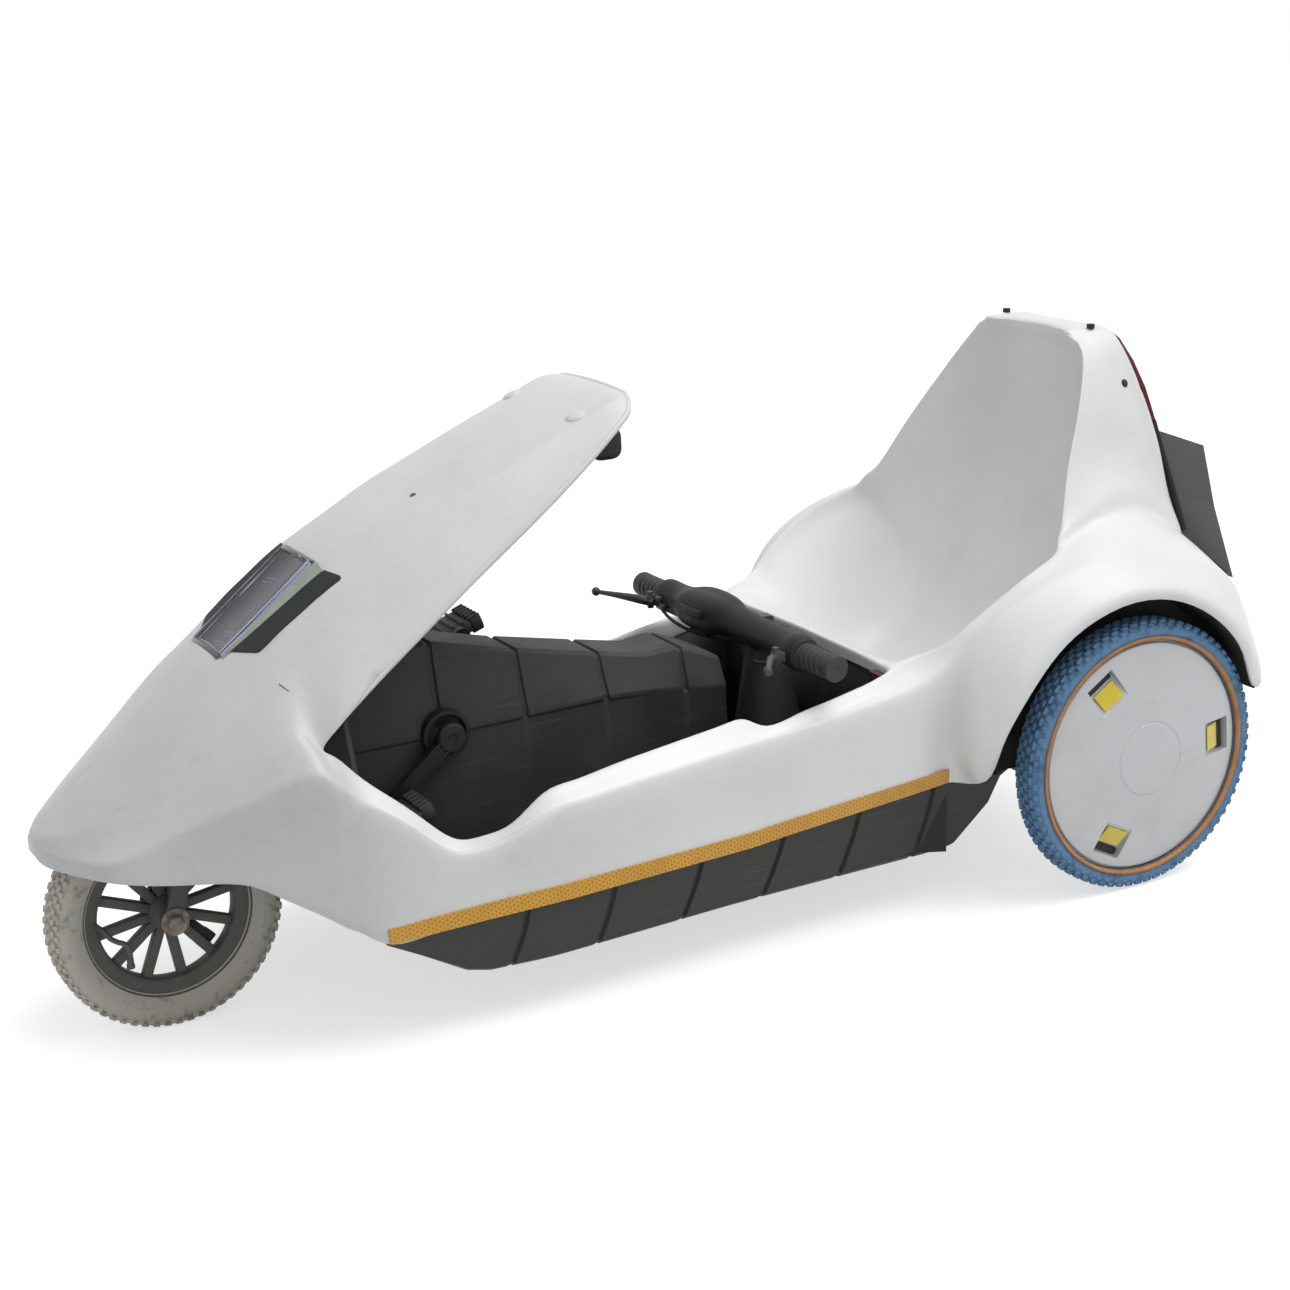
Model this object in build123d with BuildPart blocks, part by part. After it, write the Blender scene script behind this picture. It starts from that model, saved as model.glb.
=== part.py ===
"""A low single-seat three-wheeled car with pedals and a small electric motor.

Millimetres. +Z is up, the nose points along -X, and the rider's left side is -Y. The origin is on the
floor, midway between the nose tip and the back of the boot lid.
"""
import os
from math import atan2, cos, hypot, radians, sin

from build123d import *

os.makedirs("parts", exist_ok=True)

# ---------------------------------------------------------------- driving dimensions
wheelbase = 1365.0
nose_overhang = 177.0            # front axle to nose tip
tail_overhang = 254.0            # rear axle to the back of the boot lid
track = 660.0                    # between the rear wheels' middle planes
body_top = 789.0                 # top of the seat back and of the cowl
stud_height = 6.0                # the two studs on the seat back stand this much higher
tray_bottom = 80.0               # ground clearance
shell = 6.0                      # moulded wall of the body
running_gap = 0.05               # radial gap of a shaft in its bore
seat_gap = 0.3                   # between pieces that touch on a curved face

front_tyre_radius, front_tyre_width, front_rim_radius = 159.0, 56.0, 117.0
rear_tyre_radius, rear_tyre_width, rear_rim_radius = 203.0, 50.0, 172.0
spoke_count = 12
steering_rake = 15.0             # degrees, top of the steering axis leans back
front_axle_radius, rear_axle_radius = 6.0, 10.0
steerer_radius = 14.0

bar_height = 404.0               # middle of the handlebar above the floor
bar_half_span = 281.0            # to the end of a grip
bar_radius, grip_radius = 11.0, 17.0
crank_arm, crank_angle = 130.0, 39.0    # the left arm points forward, this far below level
crank_axle_radius, pedal_spindle_radius = 8.0, 5.0
pedal_half_length, pedal_half_height = 44.0, 13.0
moving_gap = 5.0                 # round what turns or swings
arch_clearance = 27.0            # between a rear tyre and its wheel opening
lamp_half_width = 54.0
rear_face_lean = 0.22            # how far the tower's rear face runs back for each mm down

# ---------------------------------------------------------------- places that follow
half_length = (nose_overhang + wheelbase + tail_overhang) / 2
front_x = nose_overhang - half_length
rear_x = front_x + wheelbase
wheel_y = track / 2
arch_radius = rear_tyre_radius + arch_clearance
arch_y = wheel_y + 42.0          # outer face of the arch lip
sides = (("left", -1), ("right", 1))


def mirrored(points):
    """A half outline of (distance from the middle plane, height), joined to its mirror image."""
    return list(points) + [(-y, z) for y, z in reversed(points) if y > 0]


def across(x, points):
    """A face in the plane square to X: points are (y, z)."""
    with BuildSketch(Plane(origin=(x, 0, 0), x_dir=(0, 1, 0), z_dir=(1, 0, 0))) as face:
        with BuildLine():
            Polyline(*points, close=True)
        make_face()
    return face.sketch


def level(z, points):
    """A horizontal face: points are (x, y)."""
    with BuildSketch(Plane.XY.offset(z)) as face:
        with BuildLine():
            Polyline(*points, close=True)
        make_face()
    return face.sketch


def slab(points, y_low, y_high, mode=Mode.ADD):
    """A solid between two values of y, cut to a side view outline of (x, z) points. Used inside a part."""
    with BuildSketch(Plane(origin=(0, y_high, 0), x_dir=(1, 0, 0), z_dir=(0, -1, 0))) as face:
        with BuildLine():
            Polyline(*points, close=True)
        make_face()
    extrude(face.sketch, amount=y_high - y_low, mode=mode)


def rod(start, end, radius, mode=Mode.ADD):
    """A round bar from one point to another. Used inside a part."""
    axis = Vector(*end) - Vector(*start)
    with BuildSketch(Plane(origin=start, z_dir=axis)) as end_face:
        Circle(radius)
    extrude(end_face.sketch, amount=axis.length, mode=mode)


def between(table, x, column):
    """A column's value at x, on the straight line between the table's rows."""
    for low, high in zip(table, table[1:]):
        if low[0] <= x <= high[0]:
            share = (x - low[0]) / (high[0] - low[0])
            return low[column] + share * (high[column] - low[column])


def save(piece, name):
    piece.part.label = name
    export_step(piece.part, f"parts/{name}.step")


# ---------------------------------------------------------------- cowl: the nose and the hood over the legs
# columns: x from the front axle | crest z | crease y, z | chine y, z | lower edge y, z
nose_sections = [
    (-nose_overhang, 277, 20, 275, 34, 270, 28, 262),
    (-166, 296, 50, 290, 76, 280, 64, 258),
    (-140, 322, 84, 308, 112, 296, 100, 257),
    (-92, 354, 104, 327, 134, 312, 138, 257),
    (-30, 397, 115, 377, 159, 334, 170, 256),
    (50, 469, 115, 450, 197, 364, 208, 254),
    (140, 546, 115, 524, 240, 398, 256, 203),
    (165, 564, 115, 542, 255, 380, 268, 186),
]
# columns: x from the front axle | crest z | crease y, z | lower edge y, z
hood_sections = [
    (165, 564, 115, 542, 215, 424),
    (311, 664, 115, 645, 200, 527),
    (435, 730, 115, 716, 185, 603),
    (600, body_top - 8, 114, body_top - 16, 160, body_top - 68),
    (648, body_top - 1, 112, body_top - 6, 139, body_top - 28),
    (660, body_top, 111, body_top - 5, 132, body_top - 17),
]
open_below = 60.0                # how far the hollow runs out of the bottom
crest_line = nose_sections + hood_sections[1:]


def cowl_top(x, y):
    """Height of the cowl's top face at x from the front axle and y from the middle plane."""
    crest, crease_y, crease_z = (between(crest_line, x, column) for column in (1, 2, 3))
    return crest + (crease_z - crest) * y / crease_y


def cowl_under(x, y):
    """Height of the hood's under face."""
    crest, crease_y, crease_z = (between(crest_line, x, column) for column in (1, 2, 3))
    return crest - shell + (crease_z - 1.2 * shell - crest + shell) * y / (crease_y - shell)


def nose_loft(sections, mode=Mode.ADD):
    loft([across(front_x + x, mirrored([(0, crest), (crease_y, crease_z), (chine_y, chine_z), (edge_y, edge_z)]))
          for x, crest, crease_y, crease_z, chine_y, chine_z, edge_y, edge_z in sections], ruled=True, mode=mode)


def hood_loft(sections, mode=Mode.ADD):
    loft([across(front_x + x, mirrored([(0, crest), (crease_y, crease_z), (edge_y, edge_z)]))
          for x, crest, crease_y, crease_z, edge_y, edge_z in sections], ruled=True, mode=mode)


# the headlamp lies on the crest: its lens runs from the lower point to the upper one
lamp_low, lamp_high = (front_x + 87, 505), (front_x + 228, 616)
lamp_length = hypot(lamp_high[0] - lamp_low[0], lamp_high[1] - lamp_low[1])
lamp_slope = atan2(lamp_high[1] - lamp_low[1], lamp_high[0] - lamp_low[0])
lens_thickness, lamp_depth = 10.0, 55.0
lamp_plane = Plane(origin=(lamp_low[0], 0, lamp_low[1]), x_dir=(cos(lamp_slope), 0, sin(lamp_slope)),
                   z_dir=(-sin(lamp_slope), 0, cos(lamp_slope)))


def lamp_block(top, depth, margin=0.0, mode=Mode.ADD):
    """A block under the lens's face, from top down by depth. Used inside a part."""
    with BuildSketch(lamp_plane.offset(top)) as face:
        with Locations((lamp_length / 2, 0)):
            Rectangle(lamp_length + 2 * margin, 2 * (lamp_half_width + margin))
    extrude(face.sketch, amount=-depth, mode=mode)


def run_out(upper_y, upper_z, edge_y, edge_z):
    """The lower edge moved on along its own wall, so that the hollow opens below."""
    share = open_below / (upper_z - edge_z)
    return edge_y + share * (edge_y - upper_y), edge_z - open_below


with BuildPart() as front_cowl:
    nose_loft(nose_sections)
    hood_loft(hood_sections)
    hollow = [(x, crest - shell, crease_y - shell, crease_z - 1.2 * shell, chine_y - shell, chine_z - 2,
               *run_out(chine_y - shell, chine_z - 2, edge_y - shell, edge_z))
              for x, crest, crease_y, crease_z, chine_y, chine_z, edge_y, edge_z in nose_sections[2:]]
    nose_loft(hollow + [(hollow[-1][0] + 1,) + hollow[-1][1:]], Mode.SUBTRACT)
    hollow = [(x, crest - shell, crease_y - shell, crease_z - 1.2 * shell,
               *run_out(crease_y - shell, crease_z - 1.2 * shell, edge_y - 1.5 * shell, edge_z))
              for x, crest, crease_y, crease_z, edge_y, edge_z in hood_sections]
    hood_loft([(hollow[0][0] - 1,) + hollow[0][1:]] + hollow[1:-1], Mode.SUBTRACT)
    lamp_block(2 * lamp_depth, 3 * lamp_depth, seat_gap, Mode.SUBTRACT)
save(front_cowl, "front_cowl")

with BuildPart() as headlamp_housing:
    lamp_block(-lens_thickness, lamp_depth - lens_thickness)
save(headlamp_housing, "headlamp_housing")

with BuildPart() as headlamp_lens:
    lamp_block(0, lens_thickness)
save(headlamp_lens, "headlamp_lens")

panel_y, panel_thickness = (lamp_half_width + 3, 114.0), 2.5
with BuildPart() as headlamp_side_panels:
    for _, side in sides:
        faces = []
        for x in (100, 140, 165, 232):
            corners = [(y, cowl_top(x, y) + seat_gap) for y in panel_y]
            corners += [(y, z + panel_thickness) for y, z in reversed(corners)]
            faces.append(across(front_x + x, [(side * y, z) for y, z in corners]))
        loft(faces, ruled=True)
save(headlamp_side_panels, "headlamp_side_panels")

cap_x, cap_y, cap_radius, cap_height = 596.0, 100.0, 14.0, 4.0
cap_lean = Vector(cowl_top(590, cap_y) - cowl_top(600, cap_y), 0, 10)
with BuildPart() as cowl_caps:
    for _, side in sides:
        foot = Vector(front_x + cap_x, side * cap_y, cowl_top(cap_x, cap_y) + 4 * seat_gap)
        rod(foot, foot + cap_lean.normalized() * cap_height, cap_radius)
save(cowl_caps, "cowl_caps")

# the instrument pod hangs under the hood's rear edge, facing the rider
pod_half_width = 104.0
with BuildPart() as instrument_pod:
    slab([(front_x + 604, 708), (front_x + 632, 704), (front_x + 642, 722),
          (front_x + 642, cowl_under(642, pod_half_width) - seat_gap),
          (front_x + 602, cowl_under(602, pod_half_width) - seat_gap)], -pod_half_width, pod_half_width)
    fillet(instrument_pod.edges().filter_by(Axis.Y).sort_by(Axis.Z)[:3], 6)
save(instrument_pod, "instrument_pod")

# ---------------------------------------------------------------- side panels and the tray under them
# columns: x | outer crease y, z | inner rim y, z | bottom y, z   (the first rows are from the front axle)
panel_joint = 0.3                # between the body's panels, end to end
side_sections = [(front_x + x, *rest) for x, *rest in [
    (165 + panel_joint, 255, 380, 225, 424, 268, 186),
    (205, 262, 346, 225, 376, 290, 165),
    (307, 268, 260, 228, 282, 292, 168),
    (335, 268, 257, 228, 262, 293, 169),
    (407, 268, 271, 228, 267, 294, 170),
    (460, 266, 288, 228, 305, 295, 171),
]] + [(rear_x + x, *rest) for x, *rest in [
    (-628, 266, 314, 228, 346, 289, 179),
    (-600, 266, 317, 228, 348, 288, 181),
    (-577, 267, 319, 245, 336, 287, 183),
    (-367, 272, 345, 243, 375, 278, 195),
    (-290, 280, 372, 262, 401, 272, 199),
]]
rim_drop = 40.0                  # the inner rim turns down by this much

for name, side in sides:
    with BuildPart() as side_panel:
        faces = []
        for x, crease_y, crease_z, rim_y, rim_z, bottom_y, bottom_z in side_sections:
            outline = [(bottom_y, bottom_z), (crease_y, crease_z), (rim_y, rim_z), (rim_y, rim_z - rim_drop),
                       (rim_y + shell, rim_z - rim_drop), (rim_y + shell, rim_z - 2.5 * shell),
                       (crease_y - shell, crease_z - shell), (bottom_y - shell, bottom_z)]
            faces.append(across(x, [(side * y, z) for y, z in outline]))
        loft(faces, ruled=True)
    save(side_panel, f"{name}_side_panel")

trim_height, trim_thickness = 20.0, 2.0
for name, side in sides:
    with BuildPart() as trim_strip:
        faces = []
        for x, crease_y, crease_z, _, _, bottom_y, bottom_z in side_sections[1:]:
            top_y = bottom_y + (crease_y - bottom_y) * trim_height / (crease_z - bottom_z)
            inner = [(bottom_y + 2 * seat_gap, bottom_z), (top_y + 2 * seat_gap, bottom_z + trim_height)]
            outline = inner + [(y + trim_thickness, z) for y, z in reversed(inner)]
            faces.append(across(x, [(side * y, z) for y, z in outline]))
        loft(faces, ruled=True)
    save(trim_strip, f"{name}_trim_strip")

# the tray's lower edge, columns: x | y | z
tray_foot = [
    (front_x + 205, 281, 160),
    (front_x + 335, 263, tray_bottom),
    (front_x + 440, 272, tray_bottom),
    (rear_x - 618, 250, tray_bottom),
    (rear_x - 301, 242, tray_bottom),
    (rear_x - 220, 272, tray_bottom + 2),
]
tray_flare = (rear_x - 220, 303.0, 205.5)    # its upper edge at the back: x, y, z
lip_drop = 0.5                   # the tray's edge stays this much under the panels
floor_z = tray_bottom + shell + seat_gap


def tray_loft(inset, lift, first, last, mode=Mode.ADD):
    """The tray's outline from the first x to the last, drawn in and lifted. Used inside a part."""
    edge = [(x, bottom_y - 3, bottom_z - lip_drop) for x, *_, bottom_y, bottom_z in side_sections[1:]] + [tray_flare]
    stops = sorted({first, last, *(x for x, *_ in edge + tray_foot if first < x < last)})
    faces = []
    for x in stops:
        top_y, top_z = between(edge, x, 1) - inset, between(edge, x, 2) + 2 * lift
        foot_y, foot_z = between(tray_foot, x, 1) - inset, between(tray_foot, x, 2) + lift
        faces.append(across(x, [(-foot_y, foot_z), (-top_y, top_z), (top_y, top_z), (foot_y, foot_z)]))
    loft(faces, ruled=True, mode=mode)


spine_height, spine_width = 50.0, 40.0
spine_z = tray_bottom + 48


def spine_slot(reach):
    """A slot round the frame's main tube, from the first x to the last. Used inside a part."""
    top, foot = spine_z + spine_height / 2 + 2 * seat_gap, floor_z - 1
    slab([(reach[0], foot), (reach[1], foot), (reach[1], top), (reach[0], top)],
         -spine_width / 2 - 2 * seat_gap, spine_width / 2 + 2 * seat_gap, Mode.SUBTRACT)


tray_front = side_sections[1][0]
with BuildPart() as lower_tray:
    tray_loft(0, 0, tray_front, tray_flare[0])
    tray_loft(shell, shell, tray_front + 2 * shell, tray_flare[0] - shell, Mode.SUBTRACT)
    spine_slot((tray_flare[0] - 20, tray_flare[0] + 20))
save(lower_tray, "lower_tray")

# ---------------------------------------------------------------- tunnel, bulkhead and steering pedestal
tunnel_wall = 5.0
crank_x, crank_z = front_x + 390, 350.0
# columns: x | top half width, z | crease half width, z | foot half width, z
tunnel_sections = [
    (front_x + 176, 40, 440, 66, 348, 78, 176),
    (front_x + 214, 41, 449, 66, 348, 78, 167),
    (front_x + 344, 43, 470, 66, 348, 78, floor_z),
    (front_x + 379, 44, 476, 66, 348, 78, floor_z),
    (front_x + 502, 44, 444, 66, 350, 78, floor_z),
    (rear_x - 732, 44, 416, 65, 352, 76, floor_z),
    (rear_x - 640, 44, 397, 64, 345, 74, floor_z),
    (rear_x - 610, 48, 404, 64, 342, 74, floor_z),
    (rear_x - 585, 50, 399, 63, 338, 73, floor_z),
    (rear_x - 530, 46, 374, 62, 330, 72, floor_z),
]


def tunnel_loft(sections, wall, mode=Mode.ADD):
    faces = []
    for x, top_y, top_z, crease_y, crease_z, foot_y, foot_z in sections:
        half = [(top_y - wall, top_z - wall), (crease_y - wall, crease_z), (foot_y - wall, foot_z - (1 if wall else 0))]
        faces.append(across(x, mirrored(half)))
    loft(faces, ruled=True, mode=mode)


with BuildPart() as centre_tunnel:
    tunnel_loft(tunnel_sections, 0)
    hollow = [(tunnel_sections[0][0] - 1,) + tunnel_sections[0][1:]] + tunnel_sections[1:-1]
    hollow.append((tunnel_sections[-1][0] - tunnel_wall,) + tunnel_sections[-1][1:])
    tunnel_loft(hollow, tunnel_wall, Mode.SUBTRACT)
    rod((crank_x, -100, crank_z), (crank_x, 100, crank_z), crank_axle_radius + moving_gap + 0.5, Mode.SUBTRACT)
    spine_slot((rear_x - 560, rear_x - 500))
save(centre_tunnel, "centre_tunnel")

# a plate across the body between the front wheel and the footwell, open round the tunnel
bulkhead_outline = [(216, 165), (216, 358), (186, 440), (112, 518), (0, 518)]    # y | z
slot_half_width, slot_top = 80.0, 451.0
bulkhead_x = crank_x - crank_arm - hypot(pedal_half_length, pedal_half_height) - moving_gap - shell
with BuildPart() as front_bulkhead:
    plate = across(bulkhead_x, mirrored(list(reversed(bulkhead_outline))))
    extrude(plate, amount=shell)
    slab([(tray_front - 20, 150), (tray_front + 40, 150), (tray_front + 40, slot_top), (tray_front - 20, slot_top)],
         -slot_half_width, slot_half_width, Mode.SUBTRACT)
save(front_bulkhead, "front_bulkhead")

steer_x = rear_x - 425           # the handlebar turns about a vertical axis here
pedestal_top = 368.0
with BuildPart() as steering_pedestal:
    with BuildSketch(Plane.XY.offset(floor_z)):
        with Locations((steer_x, 0)):
            Circle(78)
    with BuildSketch(Plane.XY.offset(pedestal_top)):
        with Locations((steer_x, 0)):
            Circle(28)
    loft()
    with BuildSketch(Plane.XY.offset(floor_z)) as wide_end:
        with Locations((steer_x, 0)):
            Circle(78 - tunnel_wall)
    with BuildSketch(Plane.XY.offset(pedestal_top - 64)) as narrow_end:
        with Locations((steer_x, 0)):
            Circle(39 - tunnel_wall)
    loft([wide_end.sketch, narrow_end.sketch], mode=Mode.SUBTRACT)
    spine_slot((steer_x - 90, steer_x + 90))
    rod((steer_x, 0, pedestal_top - 60), (steer_x, 0, pedestal_top + 1), steerer_radius + running_gap, Mode.SUBTRACT)
save(steering_pedestal, "steering_pedestal")

# ---------------------------------------------------------------- handlebar
grip_length, cover_half_width = 92.0, 172.0
bar_x = steer_x - 54             # the straight bar stands ahead of its axis
with BuildPart() as handlebar:
    rod((bar_x, -bar_half_span + 4, bar_height), (bar_x, bar_half_span - 4, bar_height), bar_radius)
    rod((steer_x, 0, pedestal_top - 55), (steer_x, 0, bar_height), steerer_radius)
    slab([(bar_x, bar_height - 8), (steer_x + 8, bar_height - 12), (steer_x + 8, bar_height + 4),
          (bar_x, bar_height + 8)], -10, 10)
save(handlebar, "handlebar")

with BuildPart() as bar_cover:
    slab([(bar_x - 32, bar_height - 17), (bar_x + 30, bar_height - 24), (bar_x + 34, bar_height + 14),
          (bar_x + 12, bar_height + 28), (bar_x - 20, bar_height + 26), (bar_x - 34, bar_height + 8)],
         -cover_half_width, cover_half_width)
    slab([(bar_x + 20, bar_height + 12), (bar_x + 20, bar_height + 24), (steer_x + 30, bar_height + 22),
          (steer_x + 34, bar_height + 12)], -60, 60)
    rod((bar_x, -bar_half_span, bar_height), (bar_x, bar_half_span, bar_height), bar_radius + seat_gap, Mode.SUBTRACT)
    rod((steer_x, 0, bar_height - 50), (steer_x, 0, bar_height + 2), steerer_radius + seat_gap, Mode.SUBTRACT)
    rod((steer_x + 8, 0, bar_height - 4), (bar_x, 0, bar_height), steerer_radius + seat_gap, Mode.SUBTRACT)
save(bar_cover, "bar_cover")

with BuildPart() as handlebar_grips:
    for _, side in sides:
        rod((bar_x, side * (bar_half_span - grip_length), bar_height), (bar_x, side * bar_half_span, bar_height),
            grip_radius)
        rod((bar_x, side * (bar_half_span - grip_length), bar_height), (bar_x, side * (bar_half_span - 4), bar_height),
            bar_radius, Mode.SUBTRACT)
save(handlebar_grips, "handlebar_grips")

lever_ball, lever_radius = (bar_x - 95, 256.0, bar_height + 15), 4.0
with BuildPart() as brake_levers:
    for _, side in sides:
        clamp = (bar_x, side * (cover_half_width + 7), bar_height)
        rod((bar_x, side * (cover_half_width + 1), bar_height), (bar_x, side * (cover_half_width + 14), bar_height), 18)
        elbow = (bar_x - 40, side * (cover_half_width + 12), bar_height + 3)
        tip = (lever_ball[0], side * lever_ball[1], lever_ball[2])
        rod(clamp, elbow, 6)
        rod(elbow, tip, lever_radius)
        with Locations(elbow):
            Sphere(6)
        with Locations(tip):
            Sphere(7)
        rod((bar_x, side * cover_half_width, bar_height), (bar_x, side * bar_half_span, bar_height),
            bar_radius + running_gap, Mode.SUBTRACT)
save(brake_levers, "brake_levers")

# ---------------------------------------------------------------- front fork and wheel
rake = radians(steering_rake)
up_the_fork = Vector(sin(rake), 0, cos(rake))
axle = Vector(front_x, 0, front_tyre_radius)
crown_length, blade_y, blade_width = 196.0, 42.0, 10.0
crown = axle + up_the_fork * crown_length
head_length = 80.0

with BuildPart() as front_fork:
    for _, side in sides:
        blade = Plane(origin=axle + Vector(0, side * blade_y, 0) - up_the_fork * 14, x_dir=(0, 1, 0), z_dir=up_the_fork)
        with BuildSketch(blade) as foot:
            RectangleRounded(blade_width, 26, 4)
        extrude(foot.sketch, amount=crown_length + 14)
    with BuildSketch(Plane(origin=crown - up_the_fork * 12, x_dir=(0, 1, 0), z_dir=up_the_fork)) as crown_face:
        RectangleRounded(2 * blade_y + blade_width, 34, 4)
    extrude(crown_face.sketch, amount=18)
    rod(crown, crown + up_the_fork * (head_length + 18), steerer_radius)
    rod((front_x, -80, front_tyre_radius), (front_x, 80, front_tyre_radius), front_axle_radius, Mode.SUBTRACT)
save(front_fork, "front_fork")

nut_radius, axle_end = 11.0, 58.0
with BuildPart() as front_axle:
    rod((front_x, -axle_end, front_tyre_radius), (front_x, axle_end, front_tyre_radius), front_axle_radius)
    for _, side in sides:
        nut = Plane(origin=(front_x, side * (blade_y + blade_width / 2), front_tyre_radius), z_dir=(0, side, 0))
        with BuildSketch(nut) as nut_face:
            RegularPolygon(nut_radius, 6)
        extrude(nut_face.sketch, amount=8)
save(front_axle, "front_axle")


def ring(x, z, y, outer, inner, width, mode=Mode.ADD):
    """A ring about a line along Y, with its middle plane at y. Used inside a part."""
    with BuildSketch(Plane(origin=(x, y + width / 2, z), x_dir=(1, 0, 0), z_dir=(0, -1, 0))) as face:
        Circle(outer)
        if inner:
            Circle(inner, mode=Mode.SUBTRACT)
    extrude(face.sketch, amount=width, mode=mode)


def tyre(x, z, y, outer, inner, width):
    """A tyre about a line along Y: a rounded tread on straight sidewalls. Used inside a part."""
    half, shoulder = width / 2, (outer - inner) * 0.55
    with BuildSketch(Plane(origin=(x, y, z), x_dir=(0, 1, 0), z_dir=(1, 0, 0))) as profile:
        with BuildLine():
            rim_line = Line((-half * 0.72, inner), (half * 0.72, inner))
            right = Line(rim_line @ 1, (half, outer - shoulder))
            tread = ThreePointArc(right @ 1, (0, outer), (-half, outer - shoulder))
            Line(tread @ 1, rim_line @ 0)
        make_face()
    revolve(profile.sketch, axis=Axis((x, y, z), (0, 1, 0)))


hub_radius, hub_width, rim_width = 24.0, 60.0, 40.0
with BuildPart() as front_tyre:
    tyre(front_x, front_tyre_radius, 0, front_tyre_radius, front_rim_radius, front_tyre_width)
save(front_tyre, "front_tyre")

with BuildPart() as front_rim:
    ring(front_x, front_tyre_radius, 0, front_rim_radius, front_rim_radius - 12, rim_width)
    ring(front_x, front_tyre_radius, 0, hub_radius, 0, hub_width)
    for turn in range(spoke_count):
        angle = radians(360 / spoke_count * (turn + 0.5))
        direction = Vector(cos(angle), 0, sin(angle))
        with BuildSketch(Plane(origin=axle + direction * (hub_radius - 3), x_dir=(0, 1, 0), z_dir=direction)) as root:
            Rectangle(26, 8)
        extrude(root.sketch, amount=front_rim_radius - 10 - hub_radius + 3)
    ring(front_x, front_tyre_radius, 0, front_axle_radius + running_gap, 0, 2 * hub_width, Mode.SUBTRACT)
save(front_rim, "front_rim")

# ---------------------------------------------------------------- rear wheels: tyre, rim and smooth cover
rear_hub_radius, rear_hub_inner = 30.0, 38.0
for name, side in sides:
    with BuildPart() as rear_tyre:
        tyre(rear_x, rear_tyre_radius, side * wheel_y, rear_tyre_radius, rear_rim_radius, rear_tyre_width)
    save(rear_tyre, f"{name}_rear_tyre")

    with BuildPart() as rear_rim:
        ring(rear_x, rear_tyre_radius, side * wheel_y, rear_rim_radius, rear_rim_radius - 14, 30)
        ring(rear_x, rear_tyre_radius, side * (wheel_y - 6), rear_hub_radius, 0, 2 * rear_hub_inner - 12)
        ring(rear_x, rear_tyre_radius, side * (wheel_y - 4), rear_rim_radius - 10, 20, 8)
        ring(rear_x, rear_tyre_radius, side * wheel_y, rear_axle_radius + running_gap, 0, 200, Mode.SUBTRACT)
    save(rear_rim, f"{name}_rear_rim")

    with BuildPart() as wheel_cover:
        face = Plane(origin=(rear_x, side * (wheel_y + 16), rear_tyre_radius), x_dir=(1, 0, 0), z_dir=(0, side, 0))
        with BuildSketch(face) as base:
            Circle(rear_rim_radius)
        with BuildSketch(face.offset(15)) as crown_circle:
            Circle(rear_rim_radius - 60)
        loft([base.sketch, crown_circle.sketch])
        with BuildSketch(face) as base:
            Circle(rear_rim_radius - 8)
        with BuildSketch(face.offset(11)) as crown_circle:
            Circle(rear_rim_radius - 64)
        loft([base.sketch, crown_circle.sketch], mode=Mode.SUBTRACT)
    save(wheel_cover, f"{name}_wheel_cover")

# ---------------------------------------------------------------- the seat's levels
# the seat's inner face, columns: z | front x | middle x | back x (from the rear axle) | half width | back half width
bucket_levels = [
    (262, -240, -150, -110, 118, 80),
    (300, -275, -120, -70, 172, 110),
    (345, -320, -100, -44, 208, 130),
    (400, -380, -90, -16, 240, 140),
    (445, -380, -90, 2, 256, 145),
    (491, -380, -110, 18, 257, 145),
    (532, -380, -60, 36, 232, 142),
    (608, -380, -20, 62, 198, 130),
    (673, -380, 14, 80, 171, 118),
    (738, -380, 46, 98, 139, 100),
    (770, -380, 56, 105, 111, 86),
    (body_top + 5, -380, 58, 110, 82, 68),
]

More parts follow.
